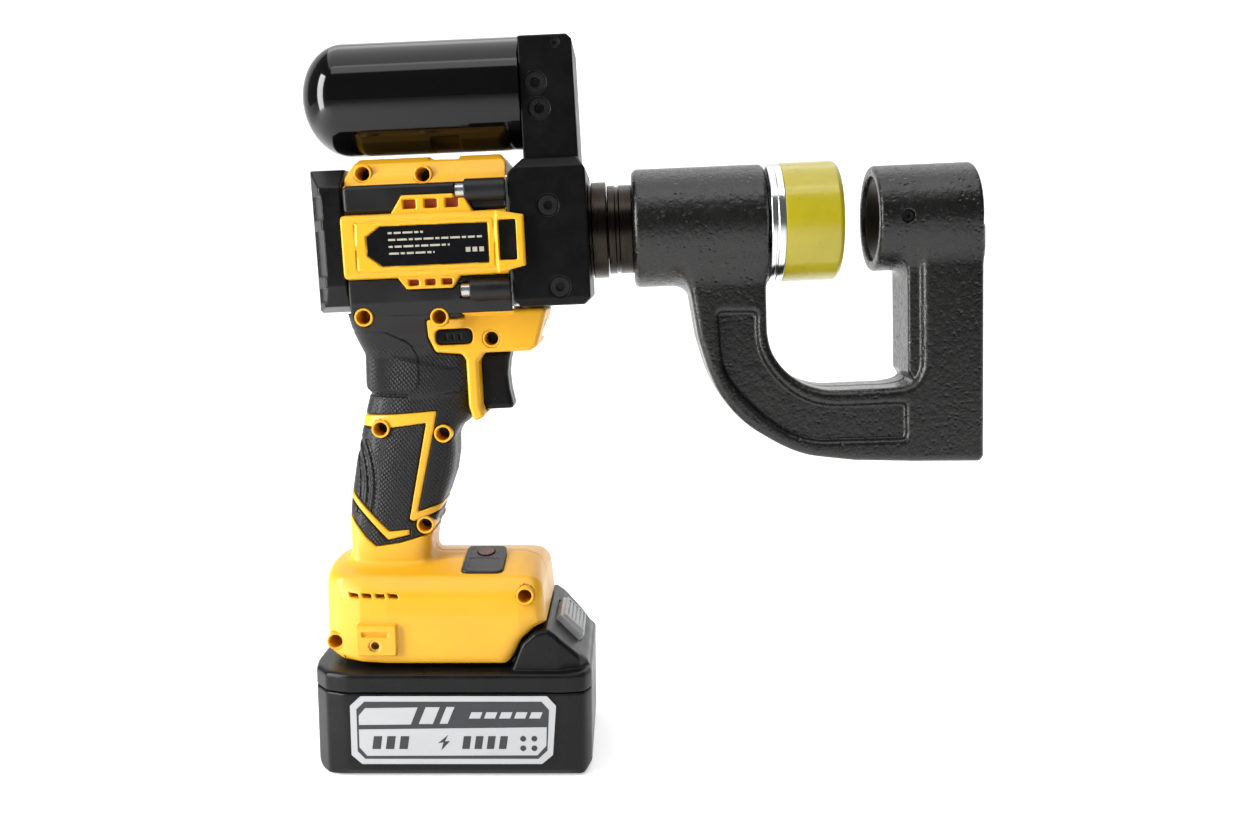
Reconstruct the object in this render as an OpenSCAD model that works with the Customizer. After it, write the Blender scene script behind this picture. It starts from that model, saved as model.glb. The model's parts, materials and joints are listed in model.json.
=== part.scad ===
// Cordless hydraulic C-frame cutter: an 18 V drill-type body with an oil reservoir,
// a pump block and a swivelling cast C-frame head with ram, stripper sleeve and die.
// +X is forward, +Z is up, the origin is the centre of the battery's bottom face.

/* [Stance] */
// Height of the ram axis above the table, over the origin
axis_h = 216.3; // [216:0.1:217]
// Nose-up tilt of barrel and head over the level foot, degrees
tilt = 2.4; // [2:0.1:2.8]

/* [Battery] */
// Length of the battery pack
battery_l = 115; // [114:0.5:116]
// Width of the battery pack
battery_w = 75; // [74:0.5:76]
// Height of the pack up to its deck
battery_h = 43.5; // [43.2:0.1:43.6]

/* [Grip and foot] */
// Width of the grip across its rubber
grip_w = 32; // [31:0.5:33]
// Thickness of the rubber skin on the grip and barrel
skin_t = 2; // [1.6:0.1:2.4]

/* [Barrel and pump] */
// Radius of the bore that holds motor and gears
barrel_bore_r = 20; // [20:0.1:20.4]
// Outside radius of the oil reservoir
reservoir_r = 22; // [21.6:0.1:22.4]
// Width of the lower pump block
block_w = 56; // [55:0.5:57]

/* [Gears] */
// Gear module
gear_m = 1.2; // [1.15:0.01:1.22]
// Teeth of the sun and of each planet
sun_teeth = 9; // [9:1:9]

/* [Head] */
// Outside radius of the cast sleeve
sleeve_r = 23.8; // [23.5:0.1:24]
// Thickness of the C-frame arms
frame_t = 34; // [33:0.5:35]
// Radius of the hydraulic cylinder
cylinder_r = 16; // [15.8:0.1:16.2]
// Radius of the die's bore
die_r = 11; // [10.8:0.1:11.2]

/* [Hidden] */
$fn = 48;

fit = 0.05;            // running clearance of a shaft in its bore
gear_play = 0.18;      // thinning of each tooth flank
far = 400;             // larger than the part
grip_lean = 11.6;      // forward lean of the grip, degrees

yellow = "#eab328";
rubber = "#1c1c1e";
black = "#101012";
steel = "#c8cacc";
cast = "#242424";

// ---------- outlines ----------

function mirror_half(p) = concat(p, [for (i = [len(p) - 1 : -1 : 0]) [-p[i][0], p[i][1]]]);
function unit(v) = v / norm(v);
function left_of(v) = [-v[1], v[0]];
// An outline that runs anticlockwise, moved inwards by d
function inset(p, d) = [for (i = [0 : len(p) - 1])
    let (n = len(p), a = left_of(unit(p[i] - p[(i + n - 1) % n])),
         b = left_of(unit(p[(i + 1) % n] - p[i])))
    p[i] + (a + b) * d / (1 + a * b)];
function arc(c, r, a0, a1, n = 6) = [for (i = [0 : n])
    let (a = a0 + (a1 - a0) * i / n) c + r * [cos(a), sin(a)]];
function rounded(x0, x1, y0, y1, r, n = 5) = concat(
    arc([x0 + r, y0 + r], r, 180, 270, n), arc([x1 - r, y0 + r], r, 270, 360, n),
    arc([x1 - r, y1 - r], r, 0, 90, n), arc([x0 + r, y1 - r], r, 90, 180, n));
function root(v, e) = sign(v) * pow(abs(v), e);
function superellipse(a, b, e, n) = [for (i = [0 : n - 1])
    [a * root(cos(360 * i / n), 2 / e), b * root(sin(360 * i / n), 2 / e)]];

// Grip seen from the side, in the level frame
grip_side = [[-40, 190], [-39.2, 180], [-37.4, 175], [-34.8, 169], [-34.8, 153.5],
    [-36.6, 148], [-38.6, 141], [-42.4, 124.7], [-44, 112], [-44.5, 104], [-43.6, 93],
    [-43, 84], [-11, 84], [-10, 93], [-7.5, 101], [-4, 110], [-0.7, 119], [0.5, 127],
    [0.3, 135], [3, 139.5], [8, 142], [9, 150], [7.5, 172], [7, 190]];
// Neck and barrel seen from the front, in the tilted frame
neck_half = [[16, -62], [16, -47], [18, -39], [23.5, -31], [25, -25], [25, -16]];
barrel_half = [[11, 31.2], [15.5, 29], [18.5, 24], [20, 20.3], [23, 20.3], [23, 9],
    [28.5, 8.5], [30, 7], [30, -14], [28.5, -15.5], [23, -16], [23, -25], [20, -31], [12, -33]];
// Light guard and trigger column seen from the side, in the tilted frame
nose_side = [[-9.4, -26], [-9.9, -39.5], [-7.5, -45.9], [3, -47], [4.5, -49.5], [4.5, -68],
    [6.2, -74.5], [10.8, -72.8], [9.5, -68], [9.5, -50], [12, -46.8], [30.5, -46.8],
    [33.3, -45], [37.7, -30.9], [36.5, -29.6], [25, -29.6], [25, -26]];
// Yellow ribs inlaid in the grip's rubber
rib_band = [[-50, 139.6], [-24.4, 139.4], [-10.3, 141.4], [-18, 101.6], [-16.6, 100.6],
    [6, 109], [6, 111.5], [-14.6, 104.6], [-8.4, 133.7], [-5.9, 146.3], [-21.5, 144.9],
    [-50, 143.4]];
rib_chevron = [[-50, 117], [-35.3, 101.8], [-26.9, 92.9], [-18.2, 95], [-18, 97.2],
    [-26.2, 96.4], [-33.3, 103.4], [-50, 120]];
// Where the light guard's yellow reaches the surface, in the tilted frame
nose_face = [[-9.4, -32.4], [-9.9, -39.5], [-7.5, -45.9], [3, -47], [26, -47], [26, -32.4]];
skin_end = [[-50, 110.5], [-35.6, 93.3], [-31.8, 90.1], [-21.8, 91.7], [-7.9, 95.8],
    [5, 100], [5, 80], [-50, 80]];
foot_side = [[-46, 85.5], [-51.8, 82], [-54.7, 75.4], [-55.7, 58.8], [-54, 49.5],
    [-51, 45.6], [-46, 44], [22.9, 44], [28.4, 55.2], [33.8, 60], [39.6, 61.2], [38.4, 68.7],
    [37.2, 76], [34.2, 82.3], [28.1, 85.5], [18, 86]];
foot_front = mirror_half([[3, 86], [25, 80.5], [31, 74], [33, 66], [33, 44]]);
foot_plan_half = [[-56, 0], [-54.6, 12], [-51.3, 20], [-45, 27], [-36, 31.5], [-25, 33],
    [28, 33], [35.5, 31], [40, 26], [40, 0]];
battery_plan_half = [[-57.5, 0], [-57.5, 18], [-55.3, 27], [-49.5, 34], [-40, 37.5],
    [47, 37.5], [54, 35.5], [57.5, 29], [57.5, 0]];
frame_side = [[93, -12], [95.9, -29.8], [98, -45], [101.8, -59.1], [106, -68.5],
    [111.5, -75.8], [117.5, -81.6], [124.1, -86], [132, -90.8], [140.9, -94.4], [160, -97.2],
    [183.8, -98.6], [210.5, -99.6], [212.5, -97.5], [212.5, -5], [187.5, -5], [187.5, -61],
    [184.1, -66.6], [177, -68], [149, -68], [139.5, -65], [132.5, -59.6], [127.5, -52.5],
    [125.7, -45], [125.7, -12]];
frame_pocket = [[106, -34.6], [107.1, -55.9], [110.5, -62.5], [117, -70.5], [129.1, -81.3],
    [138.7, -86.6], [146, -88.3], [180.8, -88.8], [180.8, -74.4], [153, -74.4], [144, -73],
    [136, -69], [129, -62.5], [123.5, -54.5], [121.4, -47], [121.5, -35.2]];
block_low_side = [[26, 22], [26, -26], [28.5, -29], [53.5, -29], [56, -26.5], [56, 23],
    [53, 28], [32, 28]];

// [x, z, half width there] of each housing screw: tilted frame, then level frame
screws_tilted = [[-31.1, 25.1, 18.4], [-7.5, 23.8, 19.2], [-33.5, -30.5, 24], [-3.9, -31.6, 23.6],
    [15.3, -41.2, 17]];
screws_level = [[-28.7, 139, 16.2], [-3.5, 137, 15.6], [-11.7, 99, 15], [30.3, 73.8, 31.4],
    [-47.5, 53, 25.2]];
case_screw_rows = [[16.6, 25.4], [-21.5, 25.4]];   // [z, y]
side_bolts = [[41.2, 9.5], [44.3, -21.8]];
side_plugs = [[38.1, 56.7], [39.1, 46.9]];

ring_teeth = 3 * sun_teeth;
sun_pitch_r = gear_m * sun_teeth / 2;
planet_orbit = 2 * sun_pitch_r;
eccentric_r = 7;
eccentric_throw = 1.8;
plunger_x = 36;
battery_x = battery_l / 2;
cell_r = 9.2;
slope_angle = 43;      // fall of the wedge's front slope, degrees
hook_hole = [-29.8, 53.6];

// ---------- helpers ----------

module in_tool() translate([0, 0, axis_h]) rotate([0, -tilt, 0]) children();
module along_x(x0, x1, r, y = 0, z = 0) translate([x0, y, z]) rotate([0, 90, 0])
    cylinder(h = x1 - x0, r = r);
module tube_x(x0, x1, ro, ri, y = 0, z = 0) difference() {
    along_x(x0, x1, ro, y, z);
    along_x(x0 - 1, x1 + 1, ri, y, z);
}
module across_y(x, z, r, y0, y1) translate([x, y1, z]) rotate([90, 0, 0])
    cylinder(h = y1 - y0, r = r);
module side_plate(p, y0, y1) translate([0, y1, 0]) rotate([90, 0, 0])
    linear_extrude(y1 - y0) polygon(p);
module section_x(p, x0, x1) translate([x0, 0, 0]) rotate([90, 0, 90])
    linear_extrude(x1 - x0) polygon(p);
module plan(p, z0, z1) translate([0, 0, z0]) linear_extrude(z1 - z0) polygon(p);
module box(a, b) translate(a) cube(b - a);
// side -1 is the right half, at -Y; side 1 is the left half
module on_side(side) intersection() {
    children();
    box([-far, side < 0 ? -far : 0, -far], [far, side < 0 ? 0 : far, far]);
}
module both_sides() {
    children();
    mirror([0, 1, 0]) children();
}
// A coil spring along +X: centre line radius r, round wire of radius w
module coil_x(x0, x1, r, w, turns, per_turn = 12, sides = 6) {
    steps = turns * per_turn;
    ring = [for (i = [0 : steps], j = [0 : sides - 1])
        let (a = 360 * i / per_turn, b = 360 * j / sides, q = r + w * cos(b))
        [x0 + w + (x1 - x0 - 2 * w) * i / steps + w * sin(b), q * cos(a), q * sin(a)]];
    walls = [for (i = [0 : steps - 1], j = [0 : sides - 1])
        let (k = (j + 1) % sides) [i * sides + j, i * sides + k, (i + 1) * sides + k, (i + 1) * sides + j]];
    ends = [[for (j = [sides - 1 : -1 : 0]) j], [for (j = [0 : sides - 1]) steps * sides + j]];
    polyhedron(points = ring, faces = concat(walls, ends), convexity = 8);
}
// Gear outline with straight-sided teeth; play widens the teeth when it is positive
module gear_2d(teeth, play = -gear_play, tip = 0.8, foot = 1.15) {
    r = gear_m * teeth / 2;
    half_pitch = gear_m * PI / 4;
    slope = tan(22);
    function tooth_w(dr) = half_pitch - dr * slope + play;
    function at(rr, a, w) = rr * [cos(a + w / rr * 180 / PI), sin(a + w / rr * 180 / PI)];
    polygon([for (i = [0 : teeth - 1])
        let (a = 360 * i / teeth, lo = r - foot * gear_m, hi = r + tip * gear_m)
        each [at(lo, a, -tooth_w(-foot * gear_m)), at(hi, a, -tooth_w(tip * gear_m)),
              at(hi, a, tooth_w(tip * gear_m)), at(lo, a, tooth_w(-foot * gear_m))]]);
}
module gear_x(teeth, x0, x1, phase, play = -gear_play, tip = 0.8, foot = 1.15)
    translate([x0, 0, 0]) rotate([90, 0, 90]) linear_extrude(x1 - x0) rotate(phase)
        gear_2d(teeth, play, tip, foot);

// ---------- housing shapes ----------

module upper_band(half_w) both_sides() in_tool() box([-38.6, 0, 9], [25.4, half_w, 20.3]);
module lower_band(d) in_tool() section_x(inset(mirror_half(neck_half), d), -38.6, 25.4);
module neck(d) intersection() {
    side_plate(inset(grip_side, d), -far, far);
    in_tool() section_x(inset(mirror_half(neck_half), d), -60, 60);
}
module handle(d) intersection() {
    side_plate(inset(grip_side, d), -grip_w / 2 + d, grip_w / 2 - d);
    translate([-28.6, 0, 78]) rotate([0, grip_lean, 0])
        linear_extrude(88) polygon(superellipse(23.2 - d, grip_w / 2 - d, 2.5, 40));
}
module skin_solid(d) {
    upper_band(25 - d);
    intersection() {
        lower_band(d);
        in_tool() box([-far, -far, -30.4], [far, far, -16]);
    }
    neck(d);
    handle(d);
}
// The control panel's frame, on the slope of the foot's top towards the right side
module on_crown() translate([12.15, -12.4, 83.65]) rotate([14.04, 0, 0]) children();
module led_place() in_tool() translate([35.3, 0, -38.5]) rotate([0, 107.3, 0]) children();
module window_frame(z0, z1, base, top) both_sides()
    side_plate([[base[0], z0], [base[1], z0], [top[1], z1], [top[0], z1]], 0, 27.5);
module windows(z, x, w, h) for (i = [0 : 2]) both_sides()
    box([x + i * (w + 3.2), 24.5, z], [x + i * (w + 3.2) + w, 30, z + h]);
module screw_posts(grow = 0) {
    in_tool() for (s = screws_tilted) across_y(s[0], s[1], 3.6 + grow, -s[2], s[2]);
    for (s = screws_level) across_y(s[0], s[1], 3.6 + grow, -s[2], s[2]);
}
module screw_holes() {
    in_tool() for (s = screws_tilted) screw_hole(s);
    for (s = screws_level) screw_hole(s);
}
module screw_hole(s) {
    across_y(s[0], s[1], 2.75, -s[2] - 5, -5);
    across_y(s[0], s[1], 1.3, -6, 9);
}
module foot_solid(d) intersection() {
    side_plate(inset(foot_side, d), -far, far);
    section_x(inset([for (i = [len(foot_front) - 1 : -1 : 0]) foot_front[i]], d), -far, far);
    plan(inset(concat([for (p = foot_plan_half) [p[0], -p[1]]],
        [for (i = [len(foot_plan_half) - 2 : -1 : 1]) foot_plan_half[i]]), d), 0, far);
}
// What stands through the rubber skin: the ribs run the full width here
module rib_prisms() {
    side_plate(rib_band, -far, far);
    side_plate(rib_chevron, -far, far);
    side_plate(skin_end, -far, far);
    in_tool() side_plate(nose_face, -far, far);
}
module proud_shapes() {
    in_tool() {
        side_plate(nose_side, -17.5, 17.5);
        both_sides() side_plate([[21, 8.5], [31.8, 6.4], [31.8, -12.9], [21, -15.5]], 0, 31);
        window_frame(8, 15.6, [-20, 12.5], [-15, 8.7]);
        mirror([0, 0, 1]) window_frame(15, 20.3, [-19, 6.4], [-15.2, 2.6]);
    }
    screw_posts();
}
module barrel_solid() in_tool() section_x(mirror_half(barrel_half), -38.6, 25.4);
module housing_solid() {
    barrel_solid();
    skin_solid(skin_t);
    intersection() {
        skin_solid(0);
        rib_prisms();
    }
    foot_solid(0);
    proud_shapes();
}
module cap_space() in_tool() box([-60, -30, -29], [-38.7, 30, 40]);
module trigger_space() in_tool() {
    box([-4, -8, -71.6], [30, 8, -46]);
    box([-7.2, -30, -43.15], [7.9, 30, -36.65]);
}
module housing_cavities() {
    in_tool() {
        along_x(-40, 26, barrel_bore_r);
        box([24.9, -28.3, -29.6], [60, 28.3, 30]);
        windows(10.4, -14.6, 5, 3.6);
        windows(-19, -14.2, 4.2, 2.4);
        both_sides() box([21.9, 28.3, -10.6], [28.7, 40, 4.8]);
        both_sides() side_plate([[-29, 0.4], [-23.4, 4.1], [17.8, 4.1], [17.8, -11.3],
            [-23.4, -11.3], [-29, -7]], 29.4, 40);
        for (row = case_screw_rows) both_sides() {
            along_x(5, 27, 1.7, row[1], row[0]);
            along_x(5, 9.2, 3.1, row[1] + 0.2, row[0]);
        }
    }
    difference() {
        intersection() {
            union() {
                neck(5);
                handle(5);
            }
            box([-far, -far, 88], [far, far, 182]);
        }
        screw_posts();
    }
    difference() {
        in_tool() box([-12, -13.5, -44], [33, 13.5, -33.5]);
        screw_posts();
    }
    // Foot: room for the board above, and the open battery channel with its rails below
    difference() {
        intersection() {
            foot_solid(3);
            box([-60, -40, 59.5], [60, 40, 90]);
        }
        screw_posts();
    }
    difference() {
        box([-49.5, -27, 46.9], [60, 27, 58.2]);
        box([-60, -40, 40], [-49.6, 40, 70]);
        screw_posts();
    }
    box([-44, -23.6, 40], [60, 23.6, 47]);
    box([-30, -8, 57], [-10, 8, 60]);
    on_crown() {
        box([-5, -8, -6], [5, 9, 3]);
        plan(rounded(-8.45, 8.45, -11.1, 11.1, 3), -1.15, 9);
    }
    box([-34, -9, 80], [-18, 9, 92]);
    led_place() translate([0, 0, -4]) cylinder(h = 8, r = 3.65);
    across_y(hook_hole[0], hook_hole[1], 2.2, -40, -28.5);
    trigger_space();
    cap_space();
}
module housing_half(side) color(yellow) on_side(side) difference() {
    housing_solid();
    housing_cavities();
    screw_holes();
}
module housing_right() {
    housing_half(-1);
    color(yellow) difference() {
        box([-37, -33.6, 49.7], [-21, -32.9, 62.3]);
        across_y(hook_hole[0], hook_hole[1], 2.2, -40, -30);
        box([-34.8, -34, 57.6], [-24.4, -33.2, 59.4]);
    }
}
module housing_left() housing_half(1);
module housing_screws() color(steel) {
    in_tool() for (s = screws_tilted) housing_screw(s);
    for (s = screws_level) housing_screw(s);
}
module housing_screw(s) {
    across_y(s[0], s[1], 1.29, -5.2, 8.8);
    difference() {
        across_y(s[0], s[1], 2.6, -7, -5);
        across_y(s[0], s[1], 1.1, -7.5, -6);
    }
}
module overmould(side) color(rubber) on_side(side) difference() {
    union() {
        skin_solid(0);
        in_tool() for (row = case_screw_rows) both_sides() along_x(9.3, 25.4, 4.4, row[1], row[0]);
    }
    skin_solid(skin_t);
    barrel_solid();
    rib_prisms();
    proud_shapes();
    in_tool() {
        along_x(-40, 26, barrel_bore_r);
        box([-12, -13.5, -44], [33, 13.5, -33.5]);
        box([24.9, -28.3, -29.6], [60, 28.3, 30]);
        for (row = case_screw_rows) both_sides() {
            along_x(5, 30, 1.7, row[1], row[0]);
            along_x(5, 9.2, 3.1, row[1] + 0.2, row[0]);
        }
    }
    screw_holes();
    trigger_space();
    cap_space();
}
module overmould_right() overmould(-1);
module overmould_left() overmould(1);
module case_screws() color(steel) in_tool() for (row = case_screw_rows) both_sides() {
    along_x(8, 37, 1.5, row[1], row[0]);
    difference() {
        along_x(6, 9.1, 2.8, row[1], row[0]);
        along_x(5, 7.4, 1.3, row[1], row[0]);
    }
}
module rear_cap() color(black) in_tool() difference() {
    intersection() {
        section_x(mirror_half([[14, 27.4], [24, 20], [25.5, 8], [25.5, -18], [21, -26],
            [12, -28.5]]), -53, -38.8);
        plan([[-38.7, 30], [-46.5, 26], [-53, 14], [-53, -14], [-46.5, -26], [-38.7, -30]], -40, 40);
    }
    along_x(-47, -38, 21.2);
    along_x(-50, -46, 4.02);
    for (z = [-17, -11, 11, 17]) box([-60, -12, z - 1.6], [-46, 12, z + 1.6]);
    // Panels sunk in the slanted corners leave two bands
    both_sides() for (z = [[-24, -18.8], [-14, 3.6], [8, 17]])
        plan([[-60, 14.5], [-51.7, 14.5], [-46.4, 24.9], [-46.4, 40], [-60, 40]], z[0], z[1]);
}
module nameplate() in_tool() side_plate([[-28.7, 0.2], [-28.7, -6.9], [-23.3, -11.1],
    [17.6, -11.1], [17.6, 3.9], [-23.3, 3.9]], 29.4, 29.9);
module nameplate_right() color(black) mirror([0, 1, 0]) nameplate();
module nameplate_left() color(black) nameplate();

// ---------- motor, gears and pump ----------

module motor_stator() color("#8a8d90") in_tool() {
    difference() {
        along_x(-30, -10, barrel_bore_r - 0.2);
        along_x(-31, -9, 12);
        for (a = [0 : 60 : 300]) rotate([a + 30, 0, 0]) {
            box([-31, -2.6, 13.4], [-9, 2.6, 17.4]);
            box([-31, -0.8, 11], [-9, 0.8, 14]);
        }
    }
    for (a = [0 : 60 : 300]) rotate([a, 0, 0]) for (x = [-32.6, -10.02])
        box([x, -4, 13.2], [x + 2.62, 4, 17.2]);
}
module motor_rotor() color("#55585c") in_tool() {
    along_x(-28.5, -11.5, 11.5);
    along_x(-49.8, 11, 2.5);
    along_x(-33.5, -28.5, 5);
}
module rotor_bearings() color(steel) in_tool() {
    tube_x(-49.6, -47, 4, 2.5 + fit);
    tube_x(-5.4, -1.4, 6.5, 2.5 + fit);
}
module motor_plate() color("#6a6d70") in_tool() difference() {
    along_x(-6.4, 0, barrel_bore_r - 0.2);
    along_x(-5.5, 1, 6.52);
    along_x(-7, 1, 4.5);
    for (a = [0 : 60 : 300]) rotate([a, 0, 0]) along_x(-7, 1, 2.5, 13, 0);
}
module cooling_fan() color(black) in_tool() {
    tube_x(-45.6, -39.2, 5, 2.5);
    tube_x(-41, -39.4, 19.4, 4.9);
    for (a = [0 : 30 : 330]) rotate([a, 0, 0]) translate([-43.1, 0, 4.6]) rotate([0, 0, 14])
        box([-2.3, -0.6, 0], [2.3, 0.6, 14.2]);
}
module ring_gear() color("#77797c") in_tool() difference() {
    along_x(0.3, 13, barrel_bore_r - 0.2);
    gear_x(ring_teeth, -1, 14, 0, gear_play, 0.95, 0.8);
}
module sun_gear() color("#a8aaad") in_tool() difference() {
    gear_x(sun_teeth, 2, 11, 0);
    along_x(1, 12, 2.5);
}
module planet(angle) color("#a8aaad") in_tool() rotate([angle, 0, 0]) translate([0, planet_orbit, 0])
    difference() {
        gear_x(sun_teeth, 3, 11, angle + 200);
        along_x(2, 12, 2 + fit);
    }
module planet_gear_1() planet(90);
module planet_gear_2() planet(210);
module planet_gear_3() planet(330);
module eccentric_shaft() color("#909396") in_tool() {
    along_x(13.2, 16.6, 16);
    for (a = [90, 210, 330]) rotate([a, 0, 0]) along_x(2.6, 13.3, 2, planet_orbit, 0);
    along_x(16.5, 51.6, 6);
    along_x(30, 42, eccentric_r, 0, eccentric_throw);
}
module shaft_bearings() color(steel) in_tool() {
    tube_x(18, 26, 13, 6 + fit);
    tube_x(45, 51, 9, 6 + fit);
}
module pump_plunger() color(steel) in_tool() {
    translate([plunger_x, 0, eccentric_throw + eccentric_r + 0.3]) {
        cylinder(h = 30, r = 3.4);
        cylinder(h = 2, r = 6.4);
    }
}
module plunger_spring() color("#9a9c9e") in_tool() translate([plunger_x, 0, 11.2])
    rotate([0, -90, 0]) coil_x(0, 10.8, 5.2, 0.8, 5);
module block_shape() {
    side_plate(block_low_side, -block_w / 2, block_w / 2);
    side_plate([[32, 25], [53.5, 25], [52.8, 72.5], [50.8, 74.5], [32.6, 74.5], [32, 74]], -20, 20);
    along_x(17.4, 26.1, barrel_bore_r - 0.2);
    along_x(22.4, 32.2, 17.5, 0, 55.5);
}
module pump_block() color(black) in_tool() difference() {
    intersection() {
        block_shape();
        section_x(mirror_half([[18, 76], [20, 74], [20, 30], [24, 28], [28, 24], [28, -26],
            [25, -29.5]]), 0, 80);
    }
    along_x(17, 26.2, 13.02);
    along_x(26.1, 44.9, 11);
    along_x(44.8, 51.9, 9.02);
    translate([plunger_x, 0, 0]) {
        cylinder(h = 22, r = 7);
        cylinder(h = 62, r = 3.4 + fit);
    }
    along_x(52.5, 60, 5);
    along_x(54.2, 60, 13.5);
    along_x(21, 40, 12, 0, 55.5);
    for (b = side_bolts) both_sides() {
        across_y(b[0], b[1], 3.9, block_w / 2 - 3.4, 40);
        across_y(b[0], b[1], 2.02, 16.5, 40);
    }
    for (b = side_plugs) both_sides() across_y(b[0], b[1], 4, 14, 40);
    across_y(46.1, 71.2, 1.8, -40, -12);
    for (row = case_screw_rows) both_sides() along_x(20, 38, 1.55, row[1], row[0]);
}
module block_bolts() color("#3a3a3c") in_tool() {
    for (b = side_bolts) both_sides() difference() {
        union() {
            across_y(b[0], b[1], 2, 17, block_w / 2 - 1);
            across_y(b[0], b[1], 3.8, block_w / 2 - 3.4, block_w / 2 - 0.4);
        }
        across_y(b[0], b[1], 1.7, block_w / 2 - 2.4, 40);
    }
    difference() {
        across_y(46.1, 71.2, 1.78, -19.4, -12.1);
        across_y(46.1, 71.2, 0.9, -40, -18);
    }
}
module port_plugs() color("#2e2c2c") in_tool() for (b = side_plugs) both_sides() difference() {
    across_y(b[0], b[1], 3.98, 14.2, 19.2);
    across_y(b[0], b[1], 2, 17, 40);
}
module block_gasket() color(steel) in_tool() difference() {
    section_x(mirror_half([[16, 21.6], [26.6, 21.6], [27.4, 20.8], [27.4, -28.4], [26.6, -29.4]]),
        25.42, 25.98);
    along_x(20, 30, barrel_bore_r);
    for (row = case_screw_rows) both_sides() along_x(20, 38, 1.7, row[1], row[0]);
}

// ---------- reservoir and coupling ----------

function dome(r, l) = [for (a = [90 : -10 : 0]) [r * cos(a), -l * sin(a)]];
module reservoir_profile(r, l, back, front) translate([back, 0, 55.5]) rotate([0, 90, 0])
    rotate_extrude() polygon(concat(dome(r, l), [[r, front - back], [0, front - back]]));
module reservoir() color(black) in_tool() difference() {
    reservoir_profile(reservoir_r, 17.5, -38.8, 31.8);
    reservoir_profile(reservoir_r - 2.6, 15, -38.8, 22.3);
    along_x(22, 40, 17.6, 0, 55.5);
}
module reservoir_bladder() color("#3c3c40") in_tool() difference() {
    reservoir_profile(16.8, 13, -36, 22);
    reservoir_profile(15.3, 11.5, -36, 23);
}
module coupling_nipple() color("#3a322c") in_tool() difference() {
    union() {
        along_x(54.3, 57, 13.4);
        along_x(56.1, 57.3, 18.2);
        along_x(57.2, 63.2, 19.35);
        along_x(63, 88, 12);
    }
    along_x(50, 90, 4);
    for (x = [70, 78]) tube_x(x, x + 2.4, 12.5, 10.4);
}
module nipple_o_rings() color("#202022") in_tool() for (x = [70, 78])
    tube_x(x + 0.1, x + 2.3, 12, 10.4);
module coupling_collar() color("#3a322c") in_tool() tube_x(63.6, 73.4, 17.85, 12 + fit);

// ---------- head ----------

module c_frame() color(cast) in_tool() difference() {
    union() {
        along_x(73.5, 127, sleeve_r);
        side_plate(frame_side, -frame_t / 2, frame_t / 2);
        side_plate([[182.5, -12], [182.5, -62], [186, -68], [190, -68], [190, -12]], -14, 14);
        along_x(170.5, 211, 21.2);
    }
    along_x(73, 91, 12 + fit);
    along_x(90.5, 128, cylinder_r);
    along_x(127, 130, 30);
    along_x(165, 200, 17);
    along_x(199, 215, 12);
    both_sides() side_plate(frame_pocket, frame_t / 2 - 2.5, 40);
    across_y(181.2, 0, 2.5, -40, -16);
    box([127, -30, -21], [170.5, 30, 30]);
}
module ram_piston() color("#b4b7ba") in_tool() difference() {
    union() {
        along_x(92, 100, cylinder_r - fit);
        along_x(99.5, 130.8, 12);
    }
    tube_x(94.5, 97.5, cylinder_r + 1, cylinder_r - 2.5);
}
module ram_seal() color("#4a5a8c") in_tool()
    tube_x(94.55, 97.45, cylinder_r - fit, cylinder_r - 2.5);
module ram_return_spring() color("#9a9c9e") in_tool()
    coil_x(100.2, 127.4, 14, 0.9, 4.5);
module cutting_punch() color("#c4c6c8") in_tool() {
    along_x(130.9, 152.5, 10.7);
    translate([152.4, 0, 0]) rotate([0, 90, 0]) cylinder(h = 2.4, r1 = 10.7, r2 = 9.4);
}
module nose_ring() color(steel) in_tool() tube_x(127.5, 133.2, 24.1, 12 + fit);
module stripper_sleeve() color("#c9bb2c") in_tool() difference() {
    union() {
        tube_x(133.25, 154.8, 24, 12.6);
        translate([154.7, 0, 0]) rotate([0, 90, 0]) cylinder(h = 1.5, r1 = 24, r2 = 22.8);
    }
    along_x(150, 160, 12.6);
}
module die_ring() color("#2c2c2e") in_tool() difference() {
    along_x(172.2, 198.5, 16.98);
    along_x(170, 210, die_r);
    translate([172.1, 0, 0]) rotate([0, 90, 0]) cylinder(h = 5, r1 = 15, r2 = die_r);
    across_y(181.2, 0, 2.2, -20, -14.5);
}
module die_set_screw() color(steel) in_tool() difference() {
    across_y(181.2, 0, 2.15, -19.8, -14.6);
    across_y(181.2, 0, 1, -30, -18);
}

// ---------- controls ----------

module trigger() color(black) in_tool() side_plate([[4, -47.2], [4, -70.6], [9, -71], [21, -70.9],
    [21.5, -69.5], [20.3, -63], [19.9, -57], [20.6, -51.5], [21.8, -47.2]], -7.5, 7.5);
module trigger_switch() color("#2a2a2e") in_tool() {
    box([-22, -7.6, -70.5], [-3.6, 7.6, -50]);
    along_x(-3.7, -3.1, 2.4, 0, -60);
}
module trigger_spring() color("#9a9c9e") in_tool() translate([0, 0, -60])
    coil_x(-3, 3.8, 3.6, 0.5, 5);
module selector_button() color(black) in_tool()
    side_plate(rounded(-6.8, 7.5, -42.75, -37.05, 2.4), -16.6, 16.6);
module led_lens() color("#f2f4f6") led_place() translate([0, 0, -1.6]) cylinder(h = 2.1, r = 3.6);
module control_panel() color("#26262a") on_crown() difference() {
    plan(rounded(-8.35, 8.35, -11, 11, 3), -1.1, 0.8);
    translate([0, 5.6, -9]) cylinder(h = 18, r = 3.7);
}
module mode_button() color("#3a1c20") on_crown() translate([0, 5.6, -1.6]) {
    cylinder(h = 2.8, r = 3.4);
    translate([0, 0, -1]) cylinder(h = 1.2, r = 1.2);
}
module control_board() color("#1d5a34") {
    box([-26, -18, 70], [26, 18, 71.6]);
    for (x = [-20 : 12 : 16]) box([x, -12, 71.5], [x + 8, -4, 75]);
}
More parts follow.
